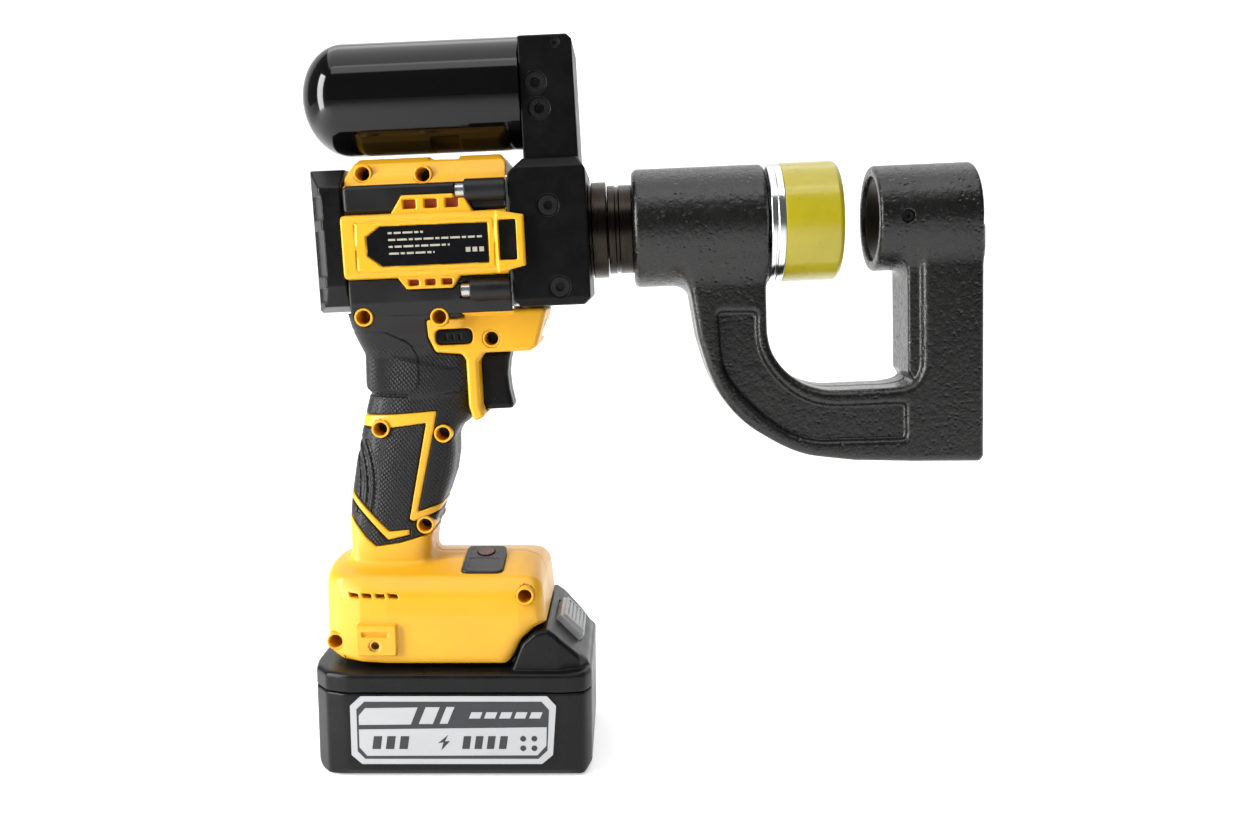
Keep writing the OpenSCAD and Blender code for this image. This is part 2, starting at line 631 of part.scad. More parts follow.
module terminal_block() color("#2a2a2e") {
    box([-43.4, -26.9, 47], [-38, 26.9, 58.1]);
    for (y = [-10, 0, 10]) box([-38.1, y - 0.5, 50], [-27, y + 0.5, 56]);
}
module wire(route, r) for (i = [0 : len(route) - 2]) hull() {
    translate(route[i]) sphere(r = r, $fn = 10);
    translate(route[i + 1]) sphere(r = r, $fn = 10);
}
module wiring() color("#7a2020") {
    wire([[-24, 5, 73.4], [-28, 5, 92], [-22, 5, 118], [-20, 4, 142]], 1.3);
    wire([[-24, -5, 73.4], [-28, -5, 92], [-22, -5, 118], [-20, -4, 142]], 1.3);
}
module belt_hook_nut() color("#b09040") difference() {
    across_y(hook_hole[0], hook_hole[1], 2.19, -32.6, -28.6);
    across_y(hook_hole[0], hook_hole[1], 1.65, -40, -20);
}

// ---------- battery ----------

function closed_plan(half) = concat([for (p = half) [p[0], -p[1]]],
    [for (i = [len(half) - 2 : -1 : 1]) half[i]]);
battery_end = mirror_half([[battery_w / 2 - 3, 0], [battery_w / 2, 4], [battery_w / 2, 60]]);
module battery_body(d) intersection() {
    plan(inset(closed_plan(battery_plan_half), d), d, battery_h);
    section_x(battery_end, -far, far);
    side_plate([[-battery_x, 4], [-battery_x + 4, 0], [battery_x - 4, 0], [battery_x, 4],
        [battery_x, 60], [-battery_x, 60]], -far, far);
}
wedge_side = [[23.4, 43], [28.9, 54.2], [34, 58.9], [39.2, 60.4], [42.5, 58], [56, 44.5],
    [56, 43]];
wedge_plan_half = [[-36, 0], [-36, 26.4], [24, 26.4], [24, 33], [44, 33], [52, 30], [56, 25],
    [56, 0]];
module wedge() intersection() {
    side_plate(wedge_side, -33, 33);
    plan(closed_plan(wedge_plan_half), 40, 70);
}
// The latch button's own frame: x runs down the wedge's slope, z stands off it
module on_slope() translate([37, 0, 54]) rotate([0, slope_angle, 0]) children();
module latch_space() on_slope() box([0, -13.4, 0], [14.4, 13.4, 20]);
module battery_lower_case() color(black) difference() {
    intersection() {
        battery_body(0);
        box([-80, -60, 0], [80, 60, 35.4]);
    }
    intersection() {
        battery_body(2.2);
        box([-80, -60, 2], [80, 60, 40]);
    }
}
module battery_upper_case() color(black) difference() {
    union() {
        intersection() {
            battery_body(0);
            box([-80, -60, 35.5], [80, 60, 60]);
        }
        box([-36, -23.2, 43], [27, 23.2, 48]);
        box([-36, -26.6, 47.6], [30.2, 26.6, 56.8]);
        wedge();
    }
    intersection() {
        battery_body(2.2);
        box([-80, -60, 30], [80, 60, 41.6]);
    }
    box([-34, -21, 40], [30, 21, 54.6]);
    for (y = [-10, 0, 10]) box([-40, y - 1.5, 49.4], [-24, y + 1.5, 57]);
    latch_space();
}
module battery_cells() color("#3a6aa0") for (row = [0, 1], i = [0 : 4])
    across_y((i - 2) * 18.7, 12 + row * 18.9, cell_r, -32.6, 32.6);
module battery_board() color("#1d5a34") box([-30, -19, 43], [26, 19, 44.6]);
module battery_label(side) color("#e6e6e4") mirror([0, side < 0 ? 1 : 0, 0])
    side_plate([[-39.4, 10], [-35.2, 6.2], [37, 6.2], [41.4, 10], [42.8, 30.6], [39.2, 34.6],
        [-35.1, 34.6], [-39.4, 30.6]], battery_w / 2, battery_w / 2 + 0.3);
module battery_label_right() battery_label(-1);
module battery_label_left() battery_label(1);
module latch_button() color("#8c9094") on_slope() {
    box([0.5, -13, 4], [13.9, 13, 9.2]);
    box([1.5, -12, 9.1], [12.9, 12, 10.4]);
}
module latch_spring() color("#9a9c9e") on_slope() translate([7.2, 0, 0.1])
    rotate([0, -90, 0]) coil_x(0, 3.8, 3, 0.4, 4);

housing_right();
housing_left();
housing_screws();
overmould_right();
overmould_left();
rear_cap();
nameplate_right();
nameplate_left();
motor_stator();
motor_rotor();
rotor_bearings();
motor_plate();
cooling_fan();
ring_gear();
sun_gear();
planet_gear_1();
planet_gear_2();
planet_gear_3();
eccentric_shaft();
shaft_bearings();
pump_plunger();
plunger_spring();
pump_block();
block_bolts();
port_plugs();
block_gasket();
case_screws();
reservoir();
reservoir_bladder();
coupling_nipple();
nipple_o_rings();
coupling_collar();
c_frame();
ram_piston();
ram_seal();
ram_return_spring();
cutting_punch();
nose_ring();
stripper_sleeve();
die_ring();
die_set_screw();
trigger();
trigger_switch();
trigger_spring();
selector_button();
led_lens();
control_panel();
mode_button();
control_board();
terminal_block();
wiring();
belt_hook_nut();
battery_lower_case();
battery_upper_case();
battery_cells();
battery_board();
battery_label_right();
battery_label_left();
latch_button();
latch_spring();
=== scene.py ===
"""Looks for the cordless hydraulic C-frame cutter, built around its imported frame."""
import json
import math

import bmesh
import bpy
import numpy as np
from mathutils import Matrix, Vector


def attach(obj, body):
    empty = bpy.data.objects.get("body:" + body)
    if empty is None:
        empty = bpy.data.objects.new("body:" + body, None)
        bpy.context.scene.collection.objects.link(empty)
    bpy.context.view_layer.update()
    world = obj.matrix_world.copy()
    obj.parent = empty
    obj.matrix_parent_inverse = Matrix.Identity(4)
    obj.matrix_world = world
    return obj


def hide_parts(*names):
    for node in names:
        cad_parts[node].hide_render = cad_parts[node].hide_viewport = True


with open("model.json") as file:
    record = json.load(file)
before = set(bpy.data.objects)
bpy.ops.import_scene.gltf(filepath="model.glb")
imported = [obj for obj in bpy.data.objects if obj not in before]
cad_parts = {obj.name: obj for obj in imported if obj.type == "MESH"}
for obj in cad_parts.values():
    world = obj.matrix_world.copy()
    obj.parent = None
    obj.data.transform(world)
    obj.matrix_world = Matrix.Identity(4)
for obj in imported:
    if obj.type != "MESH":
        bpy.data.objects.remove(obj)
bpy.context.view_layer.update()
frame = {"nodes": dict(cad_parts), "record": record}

MM = 0.001
AXIS_H = 216.3                      # height of the ram axis over the origin
TILT = math.radians(2.4)            # nose-up tilt of the barrel and head
COS, SIN = math.cos(TILT), math.sin(TILT)
TOOL = Matrix.Translation((0, 0, AXIS_H)) @ Matrix.Rotation(-TILT, 4, "Y")
LEVEL = Matrix.Identity(4)
COARSE = 1.0
TINY = 1e-4


# ---------- fields: signed distances in mm, negative inside ----------

def to_tool(p):
    """Points of the level frame, in the tilted frame of the barrel."""
    z = p[:, 2] - AXIS_H
    return np.stack([p[:, 0] * COS + z * SIN, p[:, 1], z * COS - p[:, 0] * SIN], 1)


def smin(a, b, k):
    h = np.maximum(k - np.abs(a - b), 0) / k
    return np.minimum(a, b) - h * h * k / 4


def smax(a, b, k):
    return -smin(-a, -b, k)


def cut(a, b, k=0.6):
    """a without b."""
    return -smin(-a, b, k)


def outline_distance(x, y, points):
    """Signed distance to a closed outline, edge by edge."""
    pts = np.asarray(points, np.float32)
    best = np.full(x.shape, 1e12, np.float32)
    inside = np.zeros(x.shape, bool)
    for (ax, ay), (bx, by) in zip(pts, np.roll(pts, -1, 0)):
        ex, ey = bx - ax, by - ay
        wx, wy = x - ax, y - ay
        t = np.clip((wx * ex + wy * ey) / (ex * ex + ey * ey + 1e-12), 0, 1)
        dx, dy = wx - ex * t, wy - ey * t
        best = np.minimum(best, dx * dx + dy * dy)
        if ay != by:
            inside ^= ((ay > y) != (by > y)) & (wx < ex * wy / ey)
    return np.where(inside, -1, 1) * np.sqrt(best)


TABLE_STEP = 0.3
TABLE_MARGIN = 7
tables = {}


def poly(x, y, points):
    """The same distance, read from a table that is worked out once for each outline."""
    key = tuple(points)
    if key not in tables:
        pts = np.asarray(points)
        low = pts.min(0) - TABLE_MARGIN
        count = np.ceil((pts.max(0) + TABLE_MARGIN - low) / TABLE_STEP).astype(int) + 1
        gx, gy = np.meshgrid(low[0] + TABLE_STEP * np.arange(count[0]),
                             low[1] + TABLE_STEP * np.arange(count[1]), indexing="ij")
        table = outline_distance(gx.astype(np.float32), gy.astype(np.float32), points)
        tables[key] = low, count, table.astype(np.float32).ravel()
    low, count, table = tables[key]
    u = ((x - low[0]) / TABLE_STEP).astype(np.float32)
    v = ((y - low[1]) / TABLE_STEP).astype(np.float32)
    cu, cv = np.clip(u, 0, count[0] - 1.01), np.clip(v, 0, count[1] - 1.01)
    i, j = cu.astype(np.int32), cv.astype(np.int32)
    fu, fv = cu - i, cv - j
    at = i * count[1] + j
    near = table[at] * (1 - fv) + table[at + 1] * fv
    far = table[at + count[1]] * (1 - fv) + table[at + count[1] + 1] * fv
    d = near + (far - near) * fu
    outside = np.hypot(u - cu, v - cv) * TABLE_STEP
    return np.where(outside > 0.02, np.hypot(outside, d), d)


def slab(d2, h, lo, hi, r=0.8):
    """An outline's field carried from lo to hi along h, with edges rounded by r."""
    w = np.abs(h - (lo + hi) / 2) - (hi - lo) / 2 + r
    d = d2 + r
    return np.minimum(np.maximum(d, w), 0) + np.hypot(np.maximum(d, 0), np.maximum(w, 0)) - r


def block(p, lo, hi, r=0.8):
    lo, hi = np.array(lo, np.float32), np.array(hi, np.float32)
    q = np.abs(p - (lo + hi) / 2) - (hi - lo) / 2 + r
    return np.minimum(q.max(1), 0) + np.linalg.norm(np.maximum(q, 0), axis=1) - r


def rod_x(p, x0, x1, radius, r=0.6, y=0, z=0):
    return slab(np.hypot(p[:, 1] - y, p[:, 2] - z) - radius, p[:, 0], x0, x1, r)


def rod_y(p, x, z, radius, y0, y1, r=0.2):
    return slab(np.hypot(p[:, 0] - x, p[:, 2] - z) - radius, p[:, 1], y0, y1, r)


def fillet(points, radius, steps=4):
    """An outline with every corner rounded: radius is one number, or one for each corner."""
    out, n = [], len(points)
    for i, p in enumerate(points):
        r = radius[i] if isinstance(radius, (list, tuple)) else radius
        a, b, c = Vector(points[i - 1]), Vector(p), Vector(points[(i + 1) % n])
        u, v = (a - b).normalized(), (c - b).normalized()
        half = u.angle(v) / 2
        if r <= 0 or half > 1.5:
            out.append(tuple(b))
            continue
        reach = min(r / math.tan(half), (a - b).length * 0.48, (c - b).length * 0.48)
        for k in range(steps + 1):
            t = k / steps
            bend = (1 - t) ** 2 * (b + u * reach) + 2 * t * (1 - t) * b + t * t * (b + v * reach)
            out.append(tuple(bend))
    return out


# ---------- from field to mesh ----------

CORNERS = np.array([[i, j, k] for i in (0, 1) for j in (0, 1) for k in (0, 1)])
EDGES = [(a, b) for a in range(8) for b in range(a + 1, 8)
         if np.abs(CORNERS[a] - CORNERS[b]).sum() == 1]
BLOCK = 8


def sample(field, lo, hi, cell):
    """The field on a grid, worked out only in blocks that may hold some surface."""
    lo = np.array(lo, float)
    blocks = np.ceil((np.array(hi, float) - lo) / (BLOCK * cell)).astype(int)
    ids = np.indices(blocks).reshape(3, -1).T
    middle = field((lo + (ids + 0.5) * BLOCK * cell).astype(np.float32))
    grid = np.repeat(np.repeat(np.repeat(middle.reshape(blocks), BLOCK, 0), BLOCK, 1), BLOCK, 2)
    grid = np.pad(grid, ((0, 1),) * 3, mode="edge").astype(np.float32)
    near = ids[np.abs(middle) < BLOCK * cell * 1.1]
    step = np.indices((BLOCK + 1,) * 3).reshape(3, -1).T
    for part in np.array_split(near, max(1, len(near) // 400)):
        at = (part[:, None, :] * BLOCK + step[None]).reshape(-1, 3)
        grid[at[:, 0], at[:, 1], at[:, 2]] = field((lo + at * cell).astype(np.float32))
    return grid, lo


def surface_net(grid, lo, cell):
    sign = grid < 0
    nx, ny, nz = np.array(grid.shape) - 1
    count = sum(sign[i:nx + i, j:ny + j, k:nz + k].astype(np.int8) for i, j, k in CORNERS)
    cells = np.argwhere((count > 0) & (count < 8))
    at = cells[:, None, :] + CORNERS[None]
    val = grid[at[..., 0], at[..., 1], at[..., 2]]
    total, hits = np.zeros((len(cells), 3)), np.zeros(len(cells))
    for a, b in EDGES:
        va, vb = val[:, a], val[:, b]
        m = (va < 0) != (vb < 0)
        t = va[m] / (va[m] - vb[m])
        total[m] += CORNERS[a] + t[:, None] * (CORNERS[b] - CORNERS[a])
        hits[m] += 1
    verts = lo + (cells + total / hits[:, None]) * cell
    number = np.full(count.shape, -1, np.int32)
    number[cells[:, 0], cells[:, 1], cells[:, 2]] = np.arange(len(cells))
    faces = []
    for axis in range(3):
        u, v = (axis + 1) % 3, (axis + 2) % 3
        s = np.moveaxis(sign, (axis, u, v), (0, 1, 2))
        num = np.moveaxis(number, (axis, u, v), (0, 1, 2))
        change = s[:-1, 1:-1, 1:-1] != s[1:, 1:-1, 1:-1]
        i, j, k = np.nonzero(change)
        quad = np.stack([num[i, j, k], num[i, j + 1, k], num[i, j + 1, k + 1], num[i, j, k + 1]], 1)
        flip = ~s[i, j + 1, k + 1]
        quad[flip] = quad[flip][:, ::-1]
        faces.append(quad)
    return verts, np.concatenate(faces)


def gradient(field, v, f, e):
    """Slope of the field at v, where it is f, from one more sample along each axis."""
    g = np.empty_like(v)
    for axis in range(3):
        d = np.zeros(3)
        d[axis] = e
        g[:, axis] = (field((v + d).astype(np.float32)) - f) / e
    return g


def mesh_from(name, verts, faces, normals=None, matrix=LEVEL):
    """A mesh object from arrays in mm, placed by matrix."""
    me = bpy.data.meshes.new(name)
    sides = faces.shape[1]
    me.vertices.add(len(verts))
    me.vertices.foreach_set("co", np.asarray(verts, np.float32).ravel())
    me.loops.add(len(faces) * sides)
    me.loops.foreach_set("vertex_index", np.asarray(faces, np.int32).ravel())
    me.polygons.add(len(faces))
    me.polygons.foreach_set("loop_start", np.arange(0, len(faces) * sides, sides, dtype=np.int32))
    me.update(calc_edges=True)
    me.validate()
    me.shade_smooth()
    if normals is not None and len(me.vertices) == len(normals):
        me.normals_split_custom_set_from_vertices(normals)
    me.transform(Matrix.Scale(MM, 4) @ matrix)
    ob = bpy.data.objects.new(name, me)
    bpy.context.scene.collection.objects.link(ob)
    return ob


def solid(name, field, lo, hi, cell, matrix=LEVEL):
    """The surface of a field as one smooth closed mesh."""
    cell = cell * COARSE
    grid, lo = sample(field, lo, hi, cell)
    verts, faces = surface_net(grid, lo, cell)
    for _ in range(2):
        f = field(verts.astype(np.float32))
        g = gradient(field, verts, f, cell * 0.25)
        step = g * (f / np.maximum((g * g).sum(1), 0.2))[:, None]
        verts = verts - np.clip(step, -0.4 * cell, 0.4 * cell)
    normals = gradient(field, verts, field(verts.astype(np.float32)), cell * 0.4)
    normals /= np.maximum(np.linalg.norm(normals, axis=1), 1e-6)[:, None]
    return mesh_from(name, verts, faces, normals, matrix)


# ---------- outlines of the housing, in mm ----------

def mirrored(half):
    return list(half) + [(-a, b) for a, b in reversed(half) if a > 0]


def rounded_box(x0, x1, y0, y1, r):
    return fillet([(x0, y0), (x1, y0), (x1, y1), (x0, y1)], r)


GRIP_SIDE = fillet([(-40, 190), (-39.2, 180), (-37.4, 175), (-34.8, 169), (-34.8, 153.5), (-36.6, 148),
                    (-38.6, 141), (-42.4, 124.7), (-44, 112), (-44.5, 104), (-43.6, 93), (-43, 84),
                    (-11, 84), (-10, 93), (-7.5, 101), (-4, 110), (-0.7, 119), (0.5, 127), (0.3, 135),
                    (3, 139.5), (8, 142), (9, 150), (7.5, 172), (7, 190)], 4, 3)
NECK = fillet(mirrored([(16, -62), (16, -47), (18, -39), (23.5, -31), (25, -25), (25, -16)]),
              [0, 5, 8, 5, 4, 0, 0, 4, 5, 8, 5, 0], 3)
BARREL = fillet(mirrored([(11, 31.2), (15.5, 29), (18.5, 24), (20, 20.3), (23, 20.3), (23, 9), (28.5, 8.5),
                          (30, 7), (30, -14), (28.5, -15.5), (23, -16), (23, -25), (20, -31), (12, -33)]),
                0.8, 2)
NOSE = fillet([(-9.4, -26), (-9.9, -39.5), (-7.5, -45.9), (3, -47), (4.5, -49.5), (4.5, -68), (6.2, -74.5),
               (10.8, -72.8), (9.5, -68), (9.5, -50), (12, -46.8), (30.5, -46.8), (33.3, -45),
               (37.7, -30.9), (36.5, -29.6), (25, -29.6), (25, -26)], 1.6, 3)
RIB_BAND = [(-50, 139.6), (-24.4, 139.4), (-10.3, 141.4), (-18, 101.6), (-16.6, 100.6), (6, 109), (6, 111.5),
            (-14.6, 104.6), (-8.4, 133.7), (-5.9, 146.3), (-21.5, 144.9), (-50, 143.4)]
RIB_CHEVRON = [(-50, 117), (-35.3, 101.8), (-26.9, 92.9), (-18.2, 95), (-18, 97.2), (-26.2, 96.4),
               (-33.3, 103.4), (-50, 120)]
NOSE_FACE = fillet([(-9.4, -32.4), (-9.9, -39.5), (-7.5, -45.9), (3, -47), (26, -47), (26, -32.4)], 1.6, 3)
PALM_PATCH = fillet([(-50, 178.5), (-25, 178.5), (-15.5, 174), (-12.5, 168), (-12.2, 158), (-14, 154.4),
                     (-50, 154.6)], [0, 3, 5, 5, 3, 1.5, 0], 3)
SKIN_END = [(-50, 110.5), (-35.6, 93.3), (-31.8, 90.1), (-21.8, 91.7), (-7.9, 95.8), (5, 100), (5, 80),
            (-50, 80)]
FOOT_SIDE = fillet([(-46, 85.5), (-51.8, 82), (-54.7, 75.4), (-55.7, 58.8), (-54, 49.5), (-51, 45.6),
                    (-46, 44),
                    (22.9, 44), (28.4, 55.2), (33.8, 60), (39.6, 61.2), (38.4, 68.7), (37.2, 76),
                    (34.2, 82.3),
                    (28.1, 85.5), (18, 86)], [4, 5, 4, 3, 3, 2, 0, 1, 3, 3, 1, 2, 5, 5, 6, 6], 3)
FOOT_FRONT = fillet(mirrored([(3, 86), (25, 80.5), (31, 74), (33, 66), (33, 44)]),
                    [8, 4, 5, 6, 0, 0, 6, 5, 4, 8], 3)
FOOT_PLAN = fillet(mirrored([(-1, -56), (12, -54.6), (20, -51.3), (27, -45), (31.5, -36), (33, -25),
                             (33, 28),
                             (31, 35.5), (26, 40), (0.01, 40)]), 3, 2)
SCREWS_TILTED = [(-31.1, 25.1, 18.4), (-7.5, 23.8, 19.2), (-33.5, -30.5, 24), (-3.9, -31.6, 23.6),
                 (15.3, -41.2, 17)]
SCREWS_LEVEL = [(-28.7, 139, 16.2), (-3.5, 137, 15.6), (-11.7, 99, 15), (30.3, 73.8, 31.4),
                (-47.5, 53, 25.2)]
CASE_SCREWS = [(16.6, 25.4), (-21.5, 25.4)]
HOOK = (-29.8, 53.6)
BACK, FRONT = -38.6, 25.4           # ends of the barrel along its axis
CORE_DEPTH = 2                      # the yellow core lies this far under the rubber
SEAM = 0.06                         # each half stops short of the middle plane
MOTOR_SPACE = (-45, 26, 20)         # ends and radius of the round space for motor and gears
BLOCK_SEAT = ((24.9, -5, -29.6), (60, 28.3, 35))
TRIGGER_SPACE = ((-4, -5, -71.6), (30, 8, -46))
LEAN = math.radians(11.6)           # backward lean of the grip
GRIP_FOOT = (-28.6, 78)             # where the grip's middle line starts
GRIP_RADII = (23.2, 16)
GRIP_HALF = 44                      # half of the grip's length


def sides(p):
    """x, |y| and z of each point."""
    return p[:, 0], np.abs(p[:, 1]), p[:, 2]


def fold(p):
    """Points with the left side folded onto the right one."""
    return np.stack(sides(p), 1)


def handle(p, d):
    """The oval grip, inset by d."""
    x, y, z = sides(p)
    ahead, up = x - GRIP_FOOT[0], z - GRIP_FOOT[1]
    long, wide = GRIP_RADII[0] - d, GRIP_RADII[1] - d
    u = np.abs(ahead * math.cos(LEAN) - up * math.sin(LEAN)) / long + TINY
    v = y / wide + TINY
    w = ahead * math.sin(LEAN) + up * math.cos(LEAN)
    ru, rv = u * np.sqrt(u), v * np.sqrt(v)
    g = ru * u + rv * v
    size = g ** 0.4
    slope = size / g * np.hypot(ru / long, rv / wide)
    return np.maximum((size - 1) / slope, np.abs(w - GRIP_HALF) - GRIP_HALF)


def neck(p, q, d):
    x, y, z = sides(p)
    X, Y, Z = sides(q)
    return smax(poly(x, z, GRIP_SIDE) + d, poly(Y, Z, NECK) + d, 7 - 2 * d)


def skin(p, q, d):
    """The rubber skin's outside, inset by d: upper band, lower band, neck and grip."""
    X, Y, Z = sides(q)
    x, y, z = sides(p)
    upper = block(fold(q), (BACK, -9, 9), (FRONT, 25 - d, 20.3), 2.2)
    lower = np.maximum(slab(poly(Y, Z, NECK) + d, X, BACK, FRONT, 1.2), np.abs(Z + 23.2) - 7.2)
    grip = smax(poly(x, z, GRIP_SIDE) + d, handle(p, d), 4)
    return np.minimum(np.minimum(upper, lower), smin(neck(p, q, d), grip, 3))


def ribs(p, q):
    """Where yellow reaches the surface between the rubber parts."""
    x, y, z = sides(p)
    X, Y, Z = sides(q)
    grip = np.minimum(np.minimum(poly(x, z, RIB_BAND), poly(x, z, RIB_CHEVRON)), poly(x, z, SKIN_END))
    return np.minimum(grip, poly(X, Z, NOSE_FACE))


def window_frame(q, z0, z1, base, top):
    X, Y, Z = sides(q)
    return slab(poly(X, Z, [(base[0], z0), (base[1], z0), (top[1], z1), (top[0], z1)]), Y, 0, 27.5, 0.7)


def screw_sockets(p, q, side, grow=0.0):
    """Room for the screw rims: deep sockets on the right, shallow ones on the left."""
    floor = 14 if side < 0 else 1.2
    found = [rod_y(at, x, z, 3.55 + grow, min(side * (w - floor), side * (w + 9)),
                   max(side * (w - floor), side * (w + 9)), 0.1)
             for at, rows in ((q, SCREWS_TILTED), (p, SCREWS_LEVEL)) for x, z, w in rows]
    return np.minimum.reduce(found)


def proud_shapes(p, q):
    """What stands through the rubber: nose, side tabs and window frames."""
    X, Y, Z = sides(q)
    nose = slab(poly(X, Z, NOSE), Y, 0, 17.5, 1.6)
    tab = slab(poly(X, Z, [(21, 8.5), (31.8, 6.4), (31.8, -12.9), (21, -15.5)]), Y, 0, 31, 0.9)
    upper = window_frame(q, 8, 15.6, (-20, 12.5), (-15, 8.7))
    flipped = q * np.float32((1, 1, -1))
    lower = window_frame(flipped, 15, 20.3, (-19, 6.4), (-15.2, 2.6))
    return np.minimum(np.minimum(nose, tab), np.minimum(upper, lower))


def foot(p):
    x, y, z = sides(p)
    plan = poly(p[:, 1], x, FOOT_PLAN)
    return smax(smax(poly(x, z, FOOT_SIDE), plan, 5), poly(p[:, 1], z, FOOT_FRONT), 5)


def case_bosses(q):
    folded = fold(q)
    return np.minimum.reduce([rod_x(folded, 9.3, FRONT, 4.4, 0.6, y, z) for z, y in CASE_SCREWS])


def case_pockets(q):
    folded = fold(q)
    return np.minimum.reduce([rod_x(folded, 5, 9.2, 3.1, 0.2, y + 0.2, z) for z, y in CASE_SCREWS])


def yellow(p, side):
    """Barrel, nose, grip core, ribs and foot of one half; side -1 holds the screw heads."""
    q = to_tool(p)
    x, y, z = sides(p)
    X, Y, Z = sides(q)
    folded, level = fold(q), fold(p)
    f = slab(poly(q[:, 1], Z, BARREL), X, BACK, FRONT, 1.0)
    # A shallow panel line runs round the middle band, and a step splits the top rail
    line = np.abs(slab(poly(X, Z, rounded_box(-33, 20.4, -13, 5.8, 1.5)), Y, 20, 40, 0.1)) - 0.22
    f = cut(f, np.maximum(line, 29.7 - Y), 0.3)
    f = cut(f, slab(poly(X, Z, [(-5.5, 28.6), (6, 28.6), (6, 40), (-5.5, 40)]), Y, 0, 13.4, 0.4), 0.6)
    # The rail's ends fall away
    ends = np.minimum(poly(X, Z, [(-50, 23.4), (BACK, 23.4), (-33.4, 32), (-50, 36)]),
                      poly(X, Z, [(20.5, 34), (26, 26), (34, 24), (34, 40)]))
    f = cut(f, ends, 0.8)
    ribbed = smax(skin(p, q, -0.15), ribs(p, q), 0.9)
    f = np.minimum(f, np.minimum(skin(p, q, CORE_DEPTH), ribbed))
    f = smin(f, foot(p), 5.5)
    f = np.minimum(f, proud_shapes(p, q))
    if side < 0:
        pad = block(p, (-37, -33.6, 49.7), (-21, -30, 62.3), 0.5)
        f = smin(f, pad, 0.8)
        f = cut(f, rod_y(p, HOOK[0], HOOK[1], 2.2, -45, -28.5), 0.4)
        f = cut(f, block(p, (-34.8, -40, 57.6), (-24.4, -32.6, 59.3), 0.3), 0.3)
    f = cut(f, screw_sockets(p, q, side), 0.2)
    f = cut(f, rod_x(q, *MOTOR_SPACE, 0.3), 0.5)
    f = cut(f, block(folded, *BLOCK_SEAT, 0.4), 0.4)
    for i in range(3):
        f = cut(f, block(folded, (-14.6 + 8.2 * i, 24.7, 10.4), (-9.6 + 8.2 * i, 31, 14), 0.4), 0.4)
        f = cut(f, block(folded, (-14.2 + 6.5 * i, 24.7, -19), (-10.3 + 6.5 * i, 31, -16.6), 0.4), 0.4)
    f = cut(f, block(folded, (21.9, 28.3, -10.6), (28.7, 40, 4.8), 0.6), 0.5)
    plate = [(-29, 0.4), (-23.4, 4.1), (17.8, 4.1), (17.8, -11.3), (-23.4, -11.3), (-29, -7)]
    f = cut(f, slab(poly(X, Z, plate), Y, 29.4, 40, 0.1), 0.4)
    f = cut(f, case_pockets(q), 0.3)
    for i in range(4):
        at = -40.7 + 5.3 * i
        slot = [(at, 74.4), (at + 3.9, 74), (at + 4.6, 72.2), (at + 1, 72.6)]
        f = cut(f, slab(poly(x, z, slot), y, 24, 40, 0.3), 0.4)
    f = cut(f, block(level, (-43.7, -5, 46.9), (70, 27, 58.2), 0.6), 0.4)
    f = cut(f, block(level, (-43.7, -5, 30), (70, 23.6, 47.6), 0.6), 0.4)
    c = on_crown(p)
    seat = poly(c[:, 0], c[:, 1], rounded_box(-8.5, 8.5, -11.15, 11.15, 3))
    f = cut(f, slab(seat, c[:, 2], -1.15, 9, 0.1), 0.5)
    f = cut(f, block(folded, *TRIGGER_SPACE, 0.6), 0.4)
    f = cut(f, slab(poly(X, Z, rounded_box(-7.2, 7.9, -43.15, -36.65, 2.8)), Y, -2, 30, 0.2), 0.5)
    f = cut(f, lens_cup(q, 3.9, -2.5, 9), 0.5)
    f = cut_cap(f, X, Z)
    return smax(f, SEAM - p[:, 1] * side, 0.6)


def turned(p, x0, y0, z0, axis, degrees):
    """Points in a frame that is moved to a place and turned about X or Y."""
    a = math.radians(degrees)
    x, y, z = p[:, 0] - x0, p[:, 1] - y0, p[:, 2] - z0
    if axis == "X":
        return np.stack([x, y * math.cos(a) + z * math.sin(a), z * math.cos(a) - y * math.sin(a)], 1)
    return np.stack([x * math.cos(a) - z * math.sin(a), y, x * math.sin(a) + z * math.cos(a)], 1)


def on_crown(p):
    return turned(p, 12.15, -12.4, 83.65, "X", 14.04)


def cut_cap(f, X, Z):
    """Leaves the rear cap's space free."""
    return np.maximum(f, np.minimum(-38.7 - X, Z + 29))


def lens_cup(q, radius, low, high):
    """A short cylinder on the work light's axis."""
    a = math.radians(107.3)
    ux, uz = q[:, 0] - 35.3, q[:, 2] + 38.5
    along = ux * math.sin(a) + uz * math.cos(a)
    across = ux * math.cos(a) - uz * math.sin(a)
    return slab(np.hypot(across, q[:, 1]) - radius, along, low, high, 0.3)


